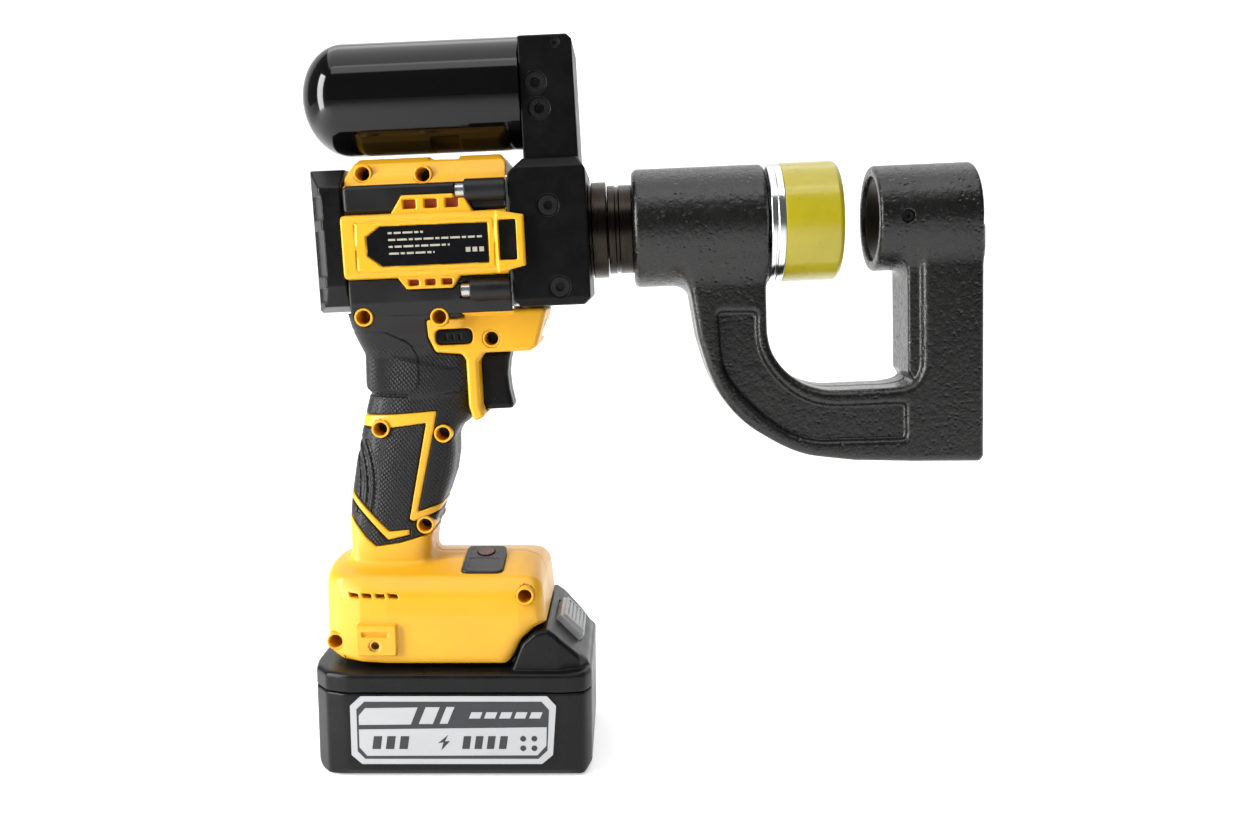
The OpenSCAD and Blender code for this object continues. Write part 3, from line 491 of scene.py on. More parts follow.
def rubber(p, side):
    """The overmoulded skin of one half, with fine gaps round the yellow ribs."""
    q = to_tool(p)
    x, y, z = sides(p)
    X, Y, Z = sides(q)
    folded = fold(q)
    outer = skin(p, q, 0)
    # A raised palm patch on the neck, a groove under it, and curved grooves on the grip's back
    patch = smax(skin(p, q, -0.4), poly(x, z, PALM_PATCH), 0.8)
    outer = np.minimum(outer, patch)
    groove = slab(poly(x, z, [(-40, 152.2), (-17, 151.8), (-17, 153.2), (-40, 153.6)]), Y, -1, 40, 0.2)
    outer = cut(outer, np.maximum(groove, -skin(p, q, 0.6)), 0.5)
    for radius in (37.5, 40.5, 43.5):
        arc = np.maximum(np.abs(np.hypot(x + 75, z - 116) - radius) - 0.5, np.abs(z - 119) - 15)
        outer = cut(outer, np.maximum(arc, -skin(p, q, 0.5)), 1.0)
    f = cut(outer, skin(p, q, 1.9), 0.2)
    f = np.minimum(f, np.maximum(case_bosses(q), -poly(q[:, 1], Z, BARREL)))
    f = cut(f, ribs(p, q) - 0.25, 0.8)
    f = cut(f, proud_shapes(p, q) - 0.2, 0.4)
    f = cut(f, screw_sockets(p, q, side, 0.2), 0.4)
    f = cut(f, slab(poly(q[:, 1], Z, BARREL), X, -39, 26, 0.4), 0.2)
    f = cut(f, case_pockets(q), 0.3)
    f = cut(f, rod_x(q, -45, 26, 20.6, 0.3), 0.3)
    f = cut(f, block(folded, *BLOCK_SEAT, 0.4), 0.3)
    f = cut(f, block(folded, *TRIGGER_SPACE, 0.6), 0.3)
    f = cut_cap(f, X, Z)
    return smax(f, 0.05 - p[:, 1] * side, 0.5)


# ---------- fields of the other parts ----------

ARMS = fillet([(93, -12), (95.9, -29.8), (98, -45), (101.8, -59.1), (106, -68.5), (111.5, -75.8),
               (117.5, -81.6),
               (124.1, -86), (132, -90.8), (140.9, -94.4), (160, -97.2), (183.8, -98.6), (211, -99.6),
               (212.5, -97.5), (212.5, -5), (187.5, -5), (187.5, -61), (184.1, -66.6), (177, -68),
               (149, -68),
               (139.5, -65), (132.5, -59.6), (127.5, -52.5), (125.7, -45), (125.7, -12)],
              [0] + [60] * 11 + [1.5, 1.5, 0, 0] + [30] * 8 + [0], 5)
RIM = [(182.5, -12), (182.5, -62), (186, -68), (190, -68), (190, -12)]
POCKET = fillet([(106, -34.6), (107.1, -55.9), (110.3, -62.6), (113.3, -66.9), (117, -70.8), (122.5, -76.5),
                 (129, -81.5), (133.6, -84.4), (138.6, -86.7), (146, -88.3), (180.8, -88.8), (180.8, -74.4),
                 (153, -74.4), (144, -73), (136, -69), (129, -62.5), (123.5, -54.5), (121.4, -47),
                 (121.5, -35.2)],
                [2] + [30] * 9 + [2, 2] + [30] * 6 + [2], 4)


def c_frame(q):
    X, Y, Z = sides(q)
    sleeve = rod_x(q, 73.5, 127, 23.8, 2.6)
    arms = slab(poly(X, Z, ARMS), Y, -1, 17, 3.2)
    arms = smin(arms, slab(poly(X, Z, RIM), Y, -1, 14, 1.5), 1.5)
    ring = rod_x(q, 170.5, 211, 21.2, 1.6)
    f = smin(smin(arms, ring, 5), sleeve, 7)
    f = cut(f, slab(poly(X, Z, POCKET), Y, 14.0, 40, 1.0), 2.6)
    f = cut(f, rod_x(q, 70, 91, 12.06, 0.1), 0.5)
    f = cut(f, rod_x(q, 90.5, 130, 16.02, 0.1), 0.5)
    f = np.maximum(f, np.where(Z > -21, np.minimum(X - 127, 170.5 - X), -99).astype(np.float32))
    f = cut(f, rod_x(q, 150, 200, 17.02, 0.1), 0.8)
    f = cut(f, rod_x(q, 198, 220, 12, 0.1), 0.8)
    return cut(f, rod_y(q, 181.2, 0, 2.5, -40, -15), 0.4)


BLOCK_LOW = fillet([(26, 22), (26, -26), (28.5, -29), (53.5, -29), (56, -26.5), (56, 23), (53, 28),
                    (32, 28)],
                   1, 2)
BLOCK_TOP = fillet([(32, 20), (53.5, 20), (52.8, 72.5), (50.8, 74.5), (32.6, 74.5), (32, 74)], 0.8, 2)
BLOCK_FRONT = fillet(mirrored([(18, 76), (20, 74), (20, 30), (24, 28), (28, 24), (28, -26), (25, -29.5)]),
                     1.2, 3)
SIDE_BOLTS = [(41.2, 9.5), (44.3, -21.8)]
SIDE_PLUGS = [(38.1, 56.7), (39.1, 46.9)]
BLOCK_BORES = [(15, 26.1, 13.02, 0.2), (26, 44.9, 11, 0.2), (44.8, 51.9, 9.02, 0.2), (52.5, 60, 5, 0.2),
               (54.2, 60, 13.5, 0.5)]
TANK_AXIS = 55.5                    # height of the reservoir over the barrel's axis


def pump_block(q):
    X, Y, Z = sides(q)
    folded = fold(q)
    f = np.minimum(slab(poly(X, Z, BLOCK_LOW), Y, -1, 28, 0.9), slab(poly(X, Z, BLOCK_TOP), Y, -1, 20, 0.8))
    f = smax(f, poly(q[:, 1], Z, BLOCK_FRONT), 0.8)
    f = np.minimum(f, rod_x(q, 17.4, 27, 19.8, 0.3))
    f = np.minimum(f, rod_x(q, 22.4, 34, 17.5, 0.3, 0, TANK_AXIS))
    for start, end, radius, soft in BLOCK_BORES:
        f = cut(f, rod_x(q, start, end, radius, 0.1), soft)
    f = cut(f, rod_x(q, 21, 33, 12, 0.1, 0, TANK_AXIS), 0.3)
    plunger = slab(np.hypot(X - 36, q[:, 1]) - 7, Z, -3, 22, 0.1)
    f = cut(f, np.minimum(plunger, slab(np.hypot(X - 36, q[:, 1]) - 3.45, Z, 0, 62, 0.1)), 0.1)
    for x, z in SIDE_BOLTS:
        f = cut(f, rod_y(folded, x, z, 3.95, 24.6, 40), 0.7)
        f = cut(f, rod_y(folded, x, z, 2.03, 16.5, 40), 0.1)
    for x, z in SIDE_PLUGS:
        f = cut(f, rod_y(folded, x, z, 4.02, 14, 40), 0.7)
    f = cut(f, rod_y(q, 46.1, 71.2, 1.8, -40, -12), 0.3)
    return f


CAP = fillet(mirrored([(14, 27.4), (24, 20), (25.5, 8), (25.5, -18), (21, -26), (12, -28.5)]), 1.2, 2)


def rear_cap(q):
    X, Y, Z = sides(q)
    corners = [(-38.7, -1), (-38.7, 30), (-46.5, 26), (-53, 14), (-53, -1)]
    f = slab(poly(q[:, 1], Z, CAP), X, -53, -38.8, 0.7)
    f = smax(f, poly(X, Y, corners), 0.8)
    f = cut(f, rod_x(q, -47, -38, 21.2, 0.3), 0.3)
    f = cut(f, rod_x(q, -50, -46, 4.05, 0.1), 0.2)
    sunk = poly(X, Y, [(-60, 14.5), (-51.7, 14.5), (-46.4, 24.9), (-46.4, 40), (-60, 40)])
    for low, high in ((-24, -18.8), (-14, 3.6), (8, 17)):
        f = cut(f, slab(sunk, Z, low, high, 0.3), 0.5)
    for z in (-17, -11, 11, 17):
        f = cut(f, block(q, (-60, -12, z - 1.6), (-46, 12, z + 1.6), 0.6), 0.6)
    return f


BATTERY_PLAN = fillet(mirrored([(18, -57.5), (27, -55.3), (34, -49.5), (37.5, -40), (37.5, 47), (35.5, 54),
                                (29, 57.5)]), [5, 5, 5, 5, 4, 5, 4, 4, 5, 4, 5, 5, 5, 5], 3)
BATTERY_END = fillet(mirrored([(34.5, 0), (37.5, 4), (37.5, 60)]), [2.5, 4, 0, 0, 4, 2.5], 3)
WEDGE = fillet([(23.4, 40), (28.9, 54.2), (34, 58.9), (39.2, 60.4), (42.5, 58), (56, 44.5), (56, 40)],
               [0, 4, 3, 1.5, 1.5, 1, 0], 3)
BATTERY_HALF = 57.5
CASE_WALL = 2.2
WEDGE_PLAN = fillet(mirrored([(26.4, -36), (26.4, 24), (33, 24), (33, 44), (30, 52), (25, 56)]), 1.0, 2)


def battery_body(p, d):
    """The pack's outside, inset by d."""
    x, y, z = sides(p)
    f = smax(poly(p[:, 1], x, BATTERY_PLAN), poly(p[:, 1], z, BATTERY_END), 1.5) + d
    ends = np.abs(x) - BATTERY_HALF + np.maximum(0, 4 - z) * 0.9
    return smax(smax(f, ends * 0.75 + d, 2), d - z, 1.5)


def lower_case(p):
    x, y, z = sides(p)
    f = smax(battery_body(p, 0), z - 35.3, 0.9)
    f = cut(f, slab(poly(x, z, rounded_box(-45, 47, 4, 36.5, 3)), y, 37.15, 50, 0.1), 0.5)
    for i in range(5):
        f = cut(f, block(p, (-60, -14 + 6.4 * i, 8), (-56.7, -11.6 + 6.4 * i, 30), 0.6), 0.6)
    return cut(f, np.maximum(battery_body(p, CASE_WALL), 2 - z), 0.3)


def on_slope(p):
    return turned(p, 37, 0, 54, "Y", 43)


def upper_case(p):
    x, y, z = sides(p)
    level = fold(p)
    f = smax(smax(battery_body(p, 0), 35.6 - z, 0.9), z - 43.5, 2.2)
    f = np.minimum(f, block(level, (-36, -5, 42), (27, 23.2, 49), 0.4))
    f = np.minimum(f, block(level, (-36, -5, 47.6), (30.2, 26.6, 56.8), 0.8))
    wedge = smax(poly(x, z, WEDGE), poly(p[:, 1], x, WEDGE_PLAN), 2)
    f = smin(f, wedge, 1.0)
    f = cut(f, np.maximum(battery_body(p, CASE_WALL), z - 41.6), 0.3)
    f = cut(f, block(level, (-34, -5, 40), (30, 21, 54.6), 0.4), 0.3)
    for i in (-1, 0, 1):
        f = cut(f, block(p, (-40, 10 * i - 1.5, 49.4), (-24, 10 * i + 1.5, 60), 0.3), 0.5)
    slope = on_slope(p)
    return cut(f, block(slope, (0, -13.4, 0), (14.4, 13.4, 25), 0.4), 0.5)


def latch(p):
    s = on_slope(p)
    base = block(s, (0.5, -13, 4), (13.9, 13, 9.2), 0.8)
    f = smin(base, block(s, (1.5, -12, 8), (12.9, 12, 10.4), 0.7), 0.5)
    for i in range(5):
        f = cut(f, block(s, (2.9 + 2 * i, -10, 9.7), (3.7 + 2 * i, 10, 14), 0.3), 0.4)
    return f


def trigger(q):
    X, Y, Z = sides(q)
    outline = fillet([(4.02, -47.2), (4.02, -70.6), (9, -71), (21, -70.9), (21.5, -69.5), (20.3, -63),
                      (19.9, -57), (20.6, -51.5), (21.8, -47.2)], [0, 2, 2, 2, 1, 3, 4, 3, 0], 3)
    return slab(poly(X, Z, outline), Y, -1, 7.5, 2.2)


def selector(q):
    X, Y, Z = sides(q)
    f = slab(poly(X, Z, rounded_box(-6.8, 7.5, -42.75, -37.05, 2.4)), Y, -1, 16.6, 0.6)
    for x in (-3.4, -0.6, 2.2):
        f = cut(f, block(fold(q), (x, 16.1, -41), (x + 1, 20, -38.8), 0.3), 0.3)
    return f


def panel(p):
    x, y, z = on_crown(p).T
    f = slab(poly(x, y, rounded_box(-8.3, 8.3, -10.95, 10.95, 3)), z, -1.1, 0.8, 0.5)
    f = cut(f, slab(poly(x, y, rounded_box(-6.2, 6.2, -9, 0.4, 1.6)), z, 0.55, 9, 0.1), 0.2)
    return cut(f, slab(np.hypot(x, y - 5.6) - 3.7, z, -9, 9, 0.1), 0.4)


# ---------- turned parts ----------

def revolve(bm, outline, matrix, steps):
    """Turns a closed outline of (x, radius) points about X and adds it to bm, placed by matrix."""
    rows = []
    for i in range(steps):
        a = 2 * math.pi * i / steps
        rows.append([bm.verts.new(matrix @ Vector((x, r * math.sin(a), r * math.cos(a))))
                     for x, r in outline])
    for i in range(steps):
        here, there = rows[i], rows[(i + 1) % steps]
        for j in range(len(outline)):
            k = (j + 1) % len(outline)
            bm.faces.new((here[j], here[k], there[k], there[j]))


def from_bmesh(name, bm, matrix, split=0.0):
    """Closes the mesh into an object; split is the angle, in degrees, past which an edge stays hard."""
    bmesh.ops.remove_doubles(bm, verts=bm.verts, dist=1e-5)
    bmesh.ops.recalc_face_normals(bm, faces=bm.faces)
    me = bpy.data.meshes.new(name)
    bm.to_mesh(me)
    bm.free()
    me.transform(Matrix.Scale(MM, 4) @ matrix)
    ob = bpy.data.objects.new(name, me)
    bpy.context.scene.collection.objects.link(ob)
    if split:
        me.shade_smooth()
        ob.modifiers.new("edges", "EDGE_SPLIT").split_angle = math.radians(split)
    return ob


def lathe(name, profile, z=0.0):
    """A closed profile of (x, radius, edge rounding) points, turned about the barrel's X axis."""
    outline = fillet([(x, r) for x, r, _ in profile], [e for _, _, e in profile], 5)
    bm = bmesh.new()
    revolve(bm, outline, Matrix.Translation((0, 0, z)), 112)
    return from_bmesh(name, bm, TOOL, 50)


def screw_rims(name, side):
    """Rings round the sunk screws on the right, and dimpled bosses in the same places on the left."""
    bm = bmesh.new()
    for frame_matrix, rows in ((TOOL, SCREWS_TILTED), (LEVEL, SCREWS_LEVEL)):
        for x, z, w in rows:
            if side < 0:
                profile = [(w - 13.5, 2.75), (w + 0.3, 2.75), (w + 0.3, 3.6), (w - 13.5, 3.6)]
                edges = [0, 0.25, 0.3, 0]
            else:
                profile = [(w - 1.2, 0.01), (w - 0.1, 0.01), (w - 0.1, 2.3), (w + 0.3, 2.6), (w + 0.3, 3.6),
                           (w - 1.2, 3.6)]
                edges = [0, 0, 0.2, 0.2, 0.3, 0]
            turn = Matrix.Rotation(side * math.pi / 2, 4, "Z")
            revolve(bm, fillet(profile, edges, 3), frame_matrix @ Matrix.Translation((x, 0, z)) @ turn, 40)
    return from_bmesh(name, bm, LEVEL, 50)


def plates(name, outlines, y, depth, matrix, side=-1):
    """Thin flat shapes on a side wall: closed outlines in X and Z, from y outwards by depth."""
    bm = bmesh.new()
    for outline in outlines:
        back = [bm.verts.new((x, side * y, z)) for x, z in outline]
        front = [bm.verts.new((x, side * (y + depth), z)) for x, z in outline]
        bm.faces.new(back[::-1])
        bm.faces.new(front)
        for i in range(len(outline)):
            k = (i + 1) % len(outline)
            bm.faces.new((back[i], back[k], front[k], front[i]))
    bmesh.ops.recalc_face_normals(bm, faces=bm.faces)
    bmesh.ops.triangulate(bm, faces=bm.faces)
    return from_bmesh(name, bm, matrix)


# ---------- materials ----------

def new_material(name):
    """A node material: returns it with its node maker, its link maker and its shader."""
    mat = bpy.data.materials.new(name)
    mat.use_nodes = True
    tree = mat.node_tree
    shader = tree.nodes["Principled BSDF"]
    place = tree.nodes.new("ShaderNodeTexCoord")

    def node(kind, inputs=None, **facts):
        made = tree.nodes.new(kind)
        for key, value in facts.items():
            setattr(made, key, value)
        for key, value in (inputs or {}).items():
            if isinstance(value, bpy.types.NodeSocket):
                tree.links.new(value, made.inputs[key])
            else:
                made.inputs[key].default_value = value
        return made

    return mat, node, tree.links.new, shader, place.outputs["Object"]


NOISE = (0.3, 0.7)                  # most of a noise texture's values lie between these


def ramp(node, source, dark, light):
    """A colour that runs from dark to light over the range of a noise texture."""
    made = node("ShaderNodeValToRGB", {"Fac": source})
    for point, at, colour in zip(made.color_ramp.elements, NOISE, (dark, light)):
        point.position = at
        point.color = (*colour, 1)
    return made.outputs["Color"]


def spread(node, source, low, high, first=0.0, last=1.0):
    """Maps the range from low to high onto the one from first to last."""
    made = node("ShaderNodeMapRange", {"Value": source, "From Min": low, "From Max": high,
                                       "To Min": first, "To Max": last})
    return made.outputs["Result"]


def emboss(node, link, shader, height, distance, strength):
    """Fine relief on the shader: height times distance in metres."""
    relief = node("ShaderNodeBump", {"Height": height, "Distance": distance, "Strength": strength})
    link(relief.outputs["Normal"], shader.inputs["Normal"])


def shade(colour, k):
    return tuple(min(1, c * k) for c in colour)


def moulded(name, colour, rough=0.4, vary=0.05, grain=1500, bump=0.00003, coat=0.0, mottle=90, depth=0.12,
            metal=0.0, specular=0.5):
    """Moulded, cast or painted surface: fine grain, soft colour variation and uneven gloss."""
    mat, node, link, shader, at = new_material(name)
    broad = node("ShaderNodeTexNoise", {"Vector": at, "Scale": mottle, "Detail": 5, "Roughness": 0.6})
    link(ramp(node, broad.outputs["Fac"], shade(colour, 1 - depth), shade(colour, 1 + depth * 0.6)),
         shader.inputs["Base Color"])
    link(spread(node, broad.outputs["Fac"], *NOISE, rough - vary, rough + vary), shader.inputs["Roughness"])
    fine = node("ShaderNodeTexNoise", {"Vector": at, "Scale": grain, "Detail": 3})
    emboss(node, link, shader, fine.outputs["Fac"], bump, 1.0)
    shader.inputs["Metallic"].default_value = metal
    shader.inputs["Coat Weight"].default_value = coat
    shader.inputs["Coat Roughness"].default_value = 0.08
    shader.inputs["Specular IOR Level"].default_value = specular
    return mat


def grip_rubber(name, colour):
    """Soft black rubber: a fine diamond stipple on the hand-held parts, plain elsewhere."""
    mat, node, link, shader, at = new_material(name)
    turn = node("ShaderNodeMapping", {"Vector": at, "Rotation": (0, math.radians(38), 0),
                                      "Scale": (760, 760, 760)})
    cells = node("ShaderNodeTexVoronoi", {"Vector": turn.outputs["Vector"], "Scale": 1.0,
                                          "Randomness": 0.12},
                 feature="F1")
    dots = spread(node, cells.outputs["Distance"], 0.15, 0.5, 1.0, 0.0)
    parts = node("ShaderNodeSeparateXYZ", {"Vector": at})
    low = spread(node, parts.outputs["Z"], 0.174, 0.170)
    patch = node("ShaderNodeMath", {0: dots, 1: low}, operation="MULTIPLY")
    fine = node("ShaderNodeTexNoise", {"Vector": at, "Scale": 2400, "Detail": 3})
    both = node("ShaderNodeMath", {0: fine.outputs["Fac"], 1: 0.16, 2: patch.outputs["Value"]},
                operation="MULTIPLY_ADD")
    emboss(node, link, shader, both.outputs["Value"], 0.00022, 0.8)
    broad = node("ShaderNodeTexNoise", {"Vector": at, "Scale": 70, "Detail": 4})
    link(ramp(node, broad.outputs["Fac"], shade(colour, 0.8), shade(colour, 1.25)),
         shader.inputs["Base Color"])
    link(spread(node, broad.outputs["Fac"], *NOISE, 0.36, 0.48), shader.inputs["Roughness"])
    shader.inputs["Specular IOR Level"].default_value = 0.3
    return mat


def cast_paint(name, colour):
    """Black paint over a rough casting: pits, orange peel, and a lighter grey painted on sharp edges as a
    highlight.
    """
    mat, node, link, shader, at = new_material(name)
    peel = node("ShaderNodeTexNoise", {"Vector": at, "Scale": 420, "Detail": 6, "Roughness": 0.62})
    pits = node("ShaderNodeTexVoronoi", {"Vector": at, "Scale": 360, "Randomness": 1.0}, feature="F1")
    hole = spread(node, pits.outputs["Distance"], 0.05, 0.32)
    sparse = node("ShaderNodeTexNoise", {"Vector": at, "Scale": 60, "Detail": 3})
    few = spread(node, sparse.outputs["Fac"], 0.42, 0.6)
    keep = node("ShaderNodeMath", {0: hole, 1: few}, operation="MAXIMUM")
    both = node("ShaderNodeMath", {0: keep.outputs["Value"], 1: 0.7, 2: peel.outputs["Fac"]},
                operation="MULTIPLY_ADD")
    emboss(node, link, shader, both.outputs["Value"], 0.00042, 0.85)
    # Sharp edges are mixed towards a lighter grey: a painted highlight along the edges, broken up by the
    # peel noise.
    edge = node("ShaderNodeNewGeometry")
    edge_highlight_mask = spread(node, edge.outputs["Pointiness"], 0.512, 0.56)
    broken_edge_highlight = node("ShaderNodeMath", {0: edge_highlight_mask, 1: peel.outputs["Fac"]}, operation="MULTIPLY")
    painted_edge_highlight = spread(node, broken_edge_highlight.outputs["Value"], 0.28, 0.55)
    paint = ramp(node, sparse.outputs["Fac"], shade(colour, 0.75), shade(colour, 1.5))
    mix = node("ShaderNodeMix", {"Factor": painted_edge_highlight}, data_type="RGBA")
    link(paint, mix.inputs["A"])
    mix.inputs["B"].default_value = (0.1, 0.097, 0.093, 1)
    link(mix.outputs["Result"], shader.inputs["Base Color"])
    link(spread(node, peel.outputs["Fac"], *NOISE, 0.17, 0.33), shader.inputs["Roughness"])
    shader.inputs["Specular IOR Level"].default_value = 0.5
    return mat


def turned_metal(name, colour, rough, line=900, dark=0.75):
    """Machined metal with fine turning marks along the barrel's axis."""
    mat, node, link, shader, at = new_material(name)
    stretch = node("ShaderNodeMapping", {"Vector": at, "Scale": (line, line * 0.03, line * 0.03)})
    marks = node("ShaderNodeTexNoise", {"Vector": stretch.outputs["Vector"], "Scale": 3.0, "Detail": 5})
    link(ramp(node, marks.outputs["Fac"], shade(colour, dark), colour), shader.inputs["Base Color"])
    link(spread(node, marks.outputs["Fac"], *NOISE, rough * 0.75, rough * 1.3), shader.inputs["Roughness"])
    emboss(node, link, shader, marks.outputs["Fac"], 0.00002, 0.8)
    shader.inputs["Metallic"].default_value = 1.0
    return mat


def urethane(name, colour):
    mat = moulded(name, colour, rough=0.3, vary=0.05, grain=700, bump=0.00003, coat=0.35, mottle=45,
                  depth=0.1)
    shader = mat.node_tree.nodes["Principled BSDF"]
    shader.inputs["Subsurface Weight"].default_value = 0.25
    shader.inputs["Subsurface Radius"].default_value = (0.004, 0.003, 0.0008)
    return mat


def lens(name, colour):
    mat = moulded(name, colour, rough=0.08, vary=0.03, grain=900, bump=0.00002, coat=1.0, depth=0.03)
    shader = mat.node_tree.nodes["Principled BSDF"]
    # The lens glows though the work light is off: a painted highlight standing in for the bright reflection
    # on its window.
    shader.inputs["Emission Color"].default_value = (1, 1, 1, 1)
    shader.inputs["Emission Strength"].default_value = 0.35
    return mat


YELLOW = (0.78, 0.395, 0.012)
FINISHES = {
    "housing_yellow": (moulded, YELLOW, dict(rough=0.36, grain=2200, mottle=40, depth=0.05)),
    "grip_rubber": (grip_rubber, (0.007, 0.007, 0.008), dict()),
    "black_plastic": (moulded, (0.006, 0.006, 0.0065), dict(rough=0.32, vary=0.07, grain=1900, bump=0.00004,
        mottle=70, depth=0.3, specular=0.2)),
    "nameplate_film": (moulded, (0.004, 0.004, 0.005), dict(rough=0.2, vary=0.04, grain=900, bump=0.00001,
        specular=0.3)),
    "label_film": (moulded, (0.47, 0.48, 0.49), dict(rough=0.35, vary=0.02, bump=0.000005, depth=0.03)),
    "lens_clear": (lens, (0.93, 0.95, 0.97), dict()),
    "panel_dark": (moulded, (0.02, 0.02, 0.023), dict(rough=0.3, vary=0.06, mottle=200, depth=0.3)),
    "button_red": (moulded, (0.07, 0.01, 0.012), dict(rough=0.25, bump=0.00002, coat=0.3)),
    "bright_steel": (turned_metal, (0.82, 0.83, 0.84), dict(rough=0.16)),
    "gear_steel": (turned_metal, (0.52, 0.53, 0.55), dict(rough=0.3)),
    "spring_steel": (turned_metal, (0.55, 0.56, 0.57), dict(rough=0.28)),
    "blued_steel": (turned_metal, (0.035, 0.028, 0.023), dict(rough=0.26, line=1100, dark=0.6)),
    "black_bolt": (moulded, (0.03, 0.03, 0.032), dict(rough=0.3, vary=0.06, grain=1600, metal=0.7)),
    "block_black": (moulded, (0.004, 0.004, 0.0042), dict(rough=0.36, vary=0.06, grain=2600, bump=0.00004,
        mottle=120, depth=0.35, specular=0.14)),
    "motor_aluminium": (turned_metal, (0.55, 0.56, 0.57), dict(rough=0.4)),
    "cast_black": (cast_paint, (0.006, 0.0057, 0.0054), dict()),
    "tank_black": (moulded, (0.002, 0.002, 0.0023), dict(rough=0.09, vary=0.03, grain=500, bump=0.00001,
        coat=0.3, mottle=25, depth=0.2, specular=0.2)),
    "seal_rubber": (moulded, (0.03, 0.03, 0.033), dict(rough=0.5, vary=0.06)),
    "seal_blue": (moulded, (0.1, 0.14, 0.3), dict(rough=0.4, vary=0.06)),
    "urethane_yellow": (urethane, (0.42, 0.35, 0.009), dict()),
    "latch_grey": (moulded, (0.42, 0.43, 0.44), dict(rough=0.42, vary=0.08, grain=1700, bump=0.00005,
        mottle=110, depth=0.2)),
    "board_green": (moulded, (0.03, 0.16, 0.06), dict(rough=0.35, bump=0.00002)),
    "wire_red": (moulded, (0.3, 0.02, 0.02), dict(rough=0.4, bump=0.00002)),
    "cell_wrap": (moulded, (0.08, 0.2, 0.45), dict(rough=0.3, bump=0.00002)),
    "insert_brass": (turned_metal, (0.7, 0.5, 0.2), dict(rough=0.3)),
    "die_dark": (turned_metal, (0.05, 0.045, 0.04), dict(rough=0.42, line=1100, dark=0.6)),
    # A deep orange for the plates in the vent windows: painted shade.
    "vent_orange": (moulded, (0.32, 0.055, 0.004), dict(rough=0.6, depth=0.2)),
    "print_pale": (moulded, (0.4, 0.38, 0.31), dict(rough=0.5, bump=0.00001, depth=0.1)),
    "print_dark": (moulded, (0.022, 0.024, 0.028), dict(rough=0.35, bump=0.00001, depth=0.15)),
}
MATERIALS = {name: make(name, colour, **facts) for name, (make, colour, facts) in FINISHES.items()}

SLOT = {part["node"]: part["material_slot"] for part in frame["record"]["subparts"]}
BODY = {node: body for body, nodes in frame["record"]["behaviour"]["bodies"].items() for node in nodes}
DULLER = {"case_screws": "gear_steel"}  # a satin finish for this node


def piece(ob, node, stands_in=True, finish=None):
    """Gives a new piece the body, the slot and the material of its CAD node."""
    ob.data.materials.append(MATERIALS[finish or SLOT[node]])
    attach(ob, BODY[node])
    if stands_in:
        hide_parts(node)


def repaint(node):
    """Puts the procedural material on a CAD node."""
    ob = frame["nodes"][node]
    for place in ob.material_slots:
        place.link = "OBJECT"
        place.material = MATERIALS[DULLER.get(node, SLOT[node])]


# ---------- the pieces ----------

def in_tool(field):
    return lambda p: field(to_tool(p))


def slanted(x0, x1, z0, z1, lean=0.0):
    """A bar whose top is shifted along X by lean."""
    return [(x0, z0), (x1, z0), (x1 + lean, z1), (x0 + lean, z1)]


LABEL_FIELD = [(-36.9, 11.6), (-33.9, 8.4), (35.6, 8.4), (39.2, 11.9), (40, 28.9), (37, 32.4), (-33.6, 32.4),
               (-36.9, 29.2)]
LABEL_LIGHT = [
    [(-36, 22.7), (-15.3, 22.9), (-12.4, 30), (-33.4, 29.7), (-36, 26.6)],
    slanted(-12.1, -6.5, 23.1, 30.1, 2.9),
    slanted(-3.8, -0.6, 23.2, 30.2, 2.9),
    [(-36.1, 13.3), (-33.1, 9.7), (35.2, 9.9), (38.8, 14), (39, 21.7), (-36.1, 20.8)],
] + [slanted(8 + 6 * i, 12.4 + 6 * i, 25.4, 28, 1.0) for i in range(5)]


def label_marks():
    """Generic marks on the light panel: level bars, a bolt and four dots."""
    marks = [slanted(-31 + 5.4 * i, -27.6 + 5.4 * i, 12.6, 18, 0.8) for i in range(3)]
    marks += [slanted(5 + 4.9 * i, 8 + 4.9 * i, 12.6, 18, 0.8) for i in range(4)]
    marks.append([(-4.6, 15), (-2.4, 15.4), (-3.4, 11.9), (0.3, 16), (-1.8, 15.8), (-0.4, 18.6)])
    for x in (29.5, 34):
        for z in (12.9, 16.9):
            marks.append([(x + 1.2 * math.cos(a), z + 1.2 * math.sin(a))
                          for a in (2 * math.pi * i / 16 for i in range(16))])
    return marks


def nameplate_print():
    """Rows of short dashes where a real plate has its data, and three small squares."""
    dashes = []
    for z, end in ((1.0, -7), (-1.6, 15.5), (-4.2, 3), (-6.8, -3)):
        x, k = -20.5, 0
        while x < end:
            wide = 1.6 + 1.1 * ((k * 7 + int(abs(z) * 3)) % 3)
            dashes.append(slanted(x, min(x + wide, end), z, z + 0.75))
            x += wide + 0.7
            k += 1
    return dashes + [slanted(9 + 2.6 * i, 10.8 + 2.6 * i, -6.9, -5.1) for i in range(3)]


def vent_shade_plates():
    """Three dark orange plates in each of the two rows of windows: painted shade on the floors of the window
    recesses.
    """
    rows = ((-14.8, 8.2, 5.4, 10.2, 14.2), (-14.3, 6.5, 4.1, -19.1, -16.5))
    return [slanted(at, at + wide, low, high) for first, pitch, wide, low, high in rows
            for at in (first, first + pitch, first + 2 * pitch)]


SHELL_CELL, SKIN_CELL = 0.62, 0.55  # cell sizes in mm

for node_name in frame["nodes"]:
    repaint(node_name)

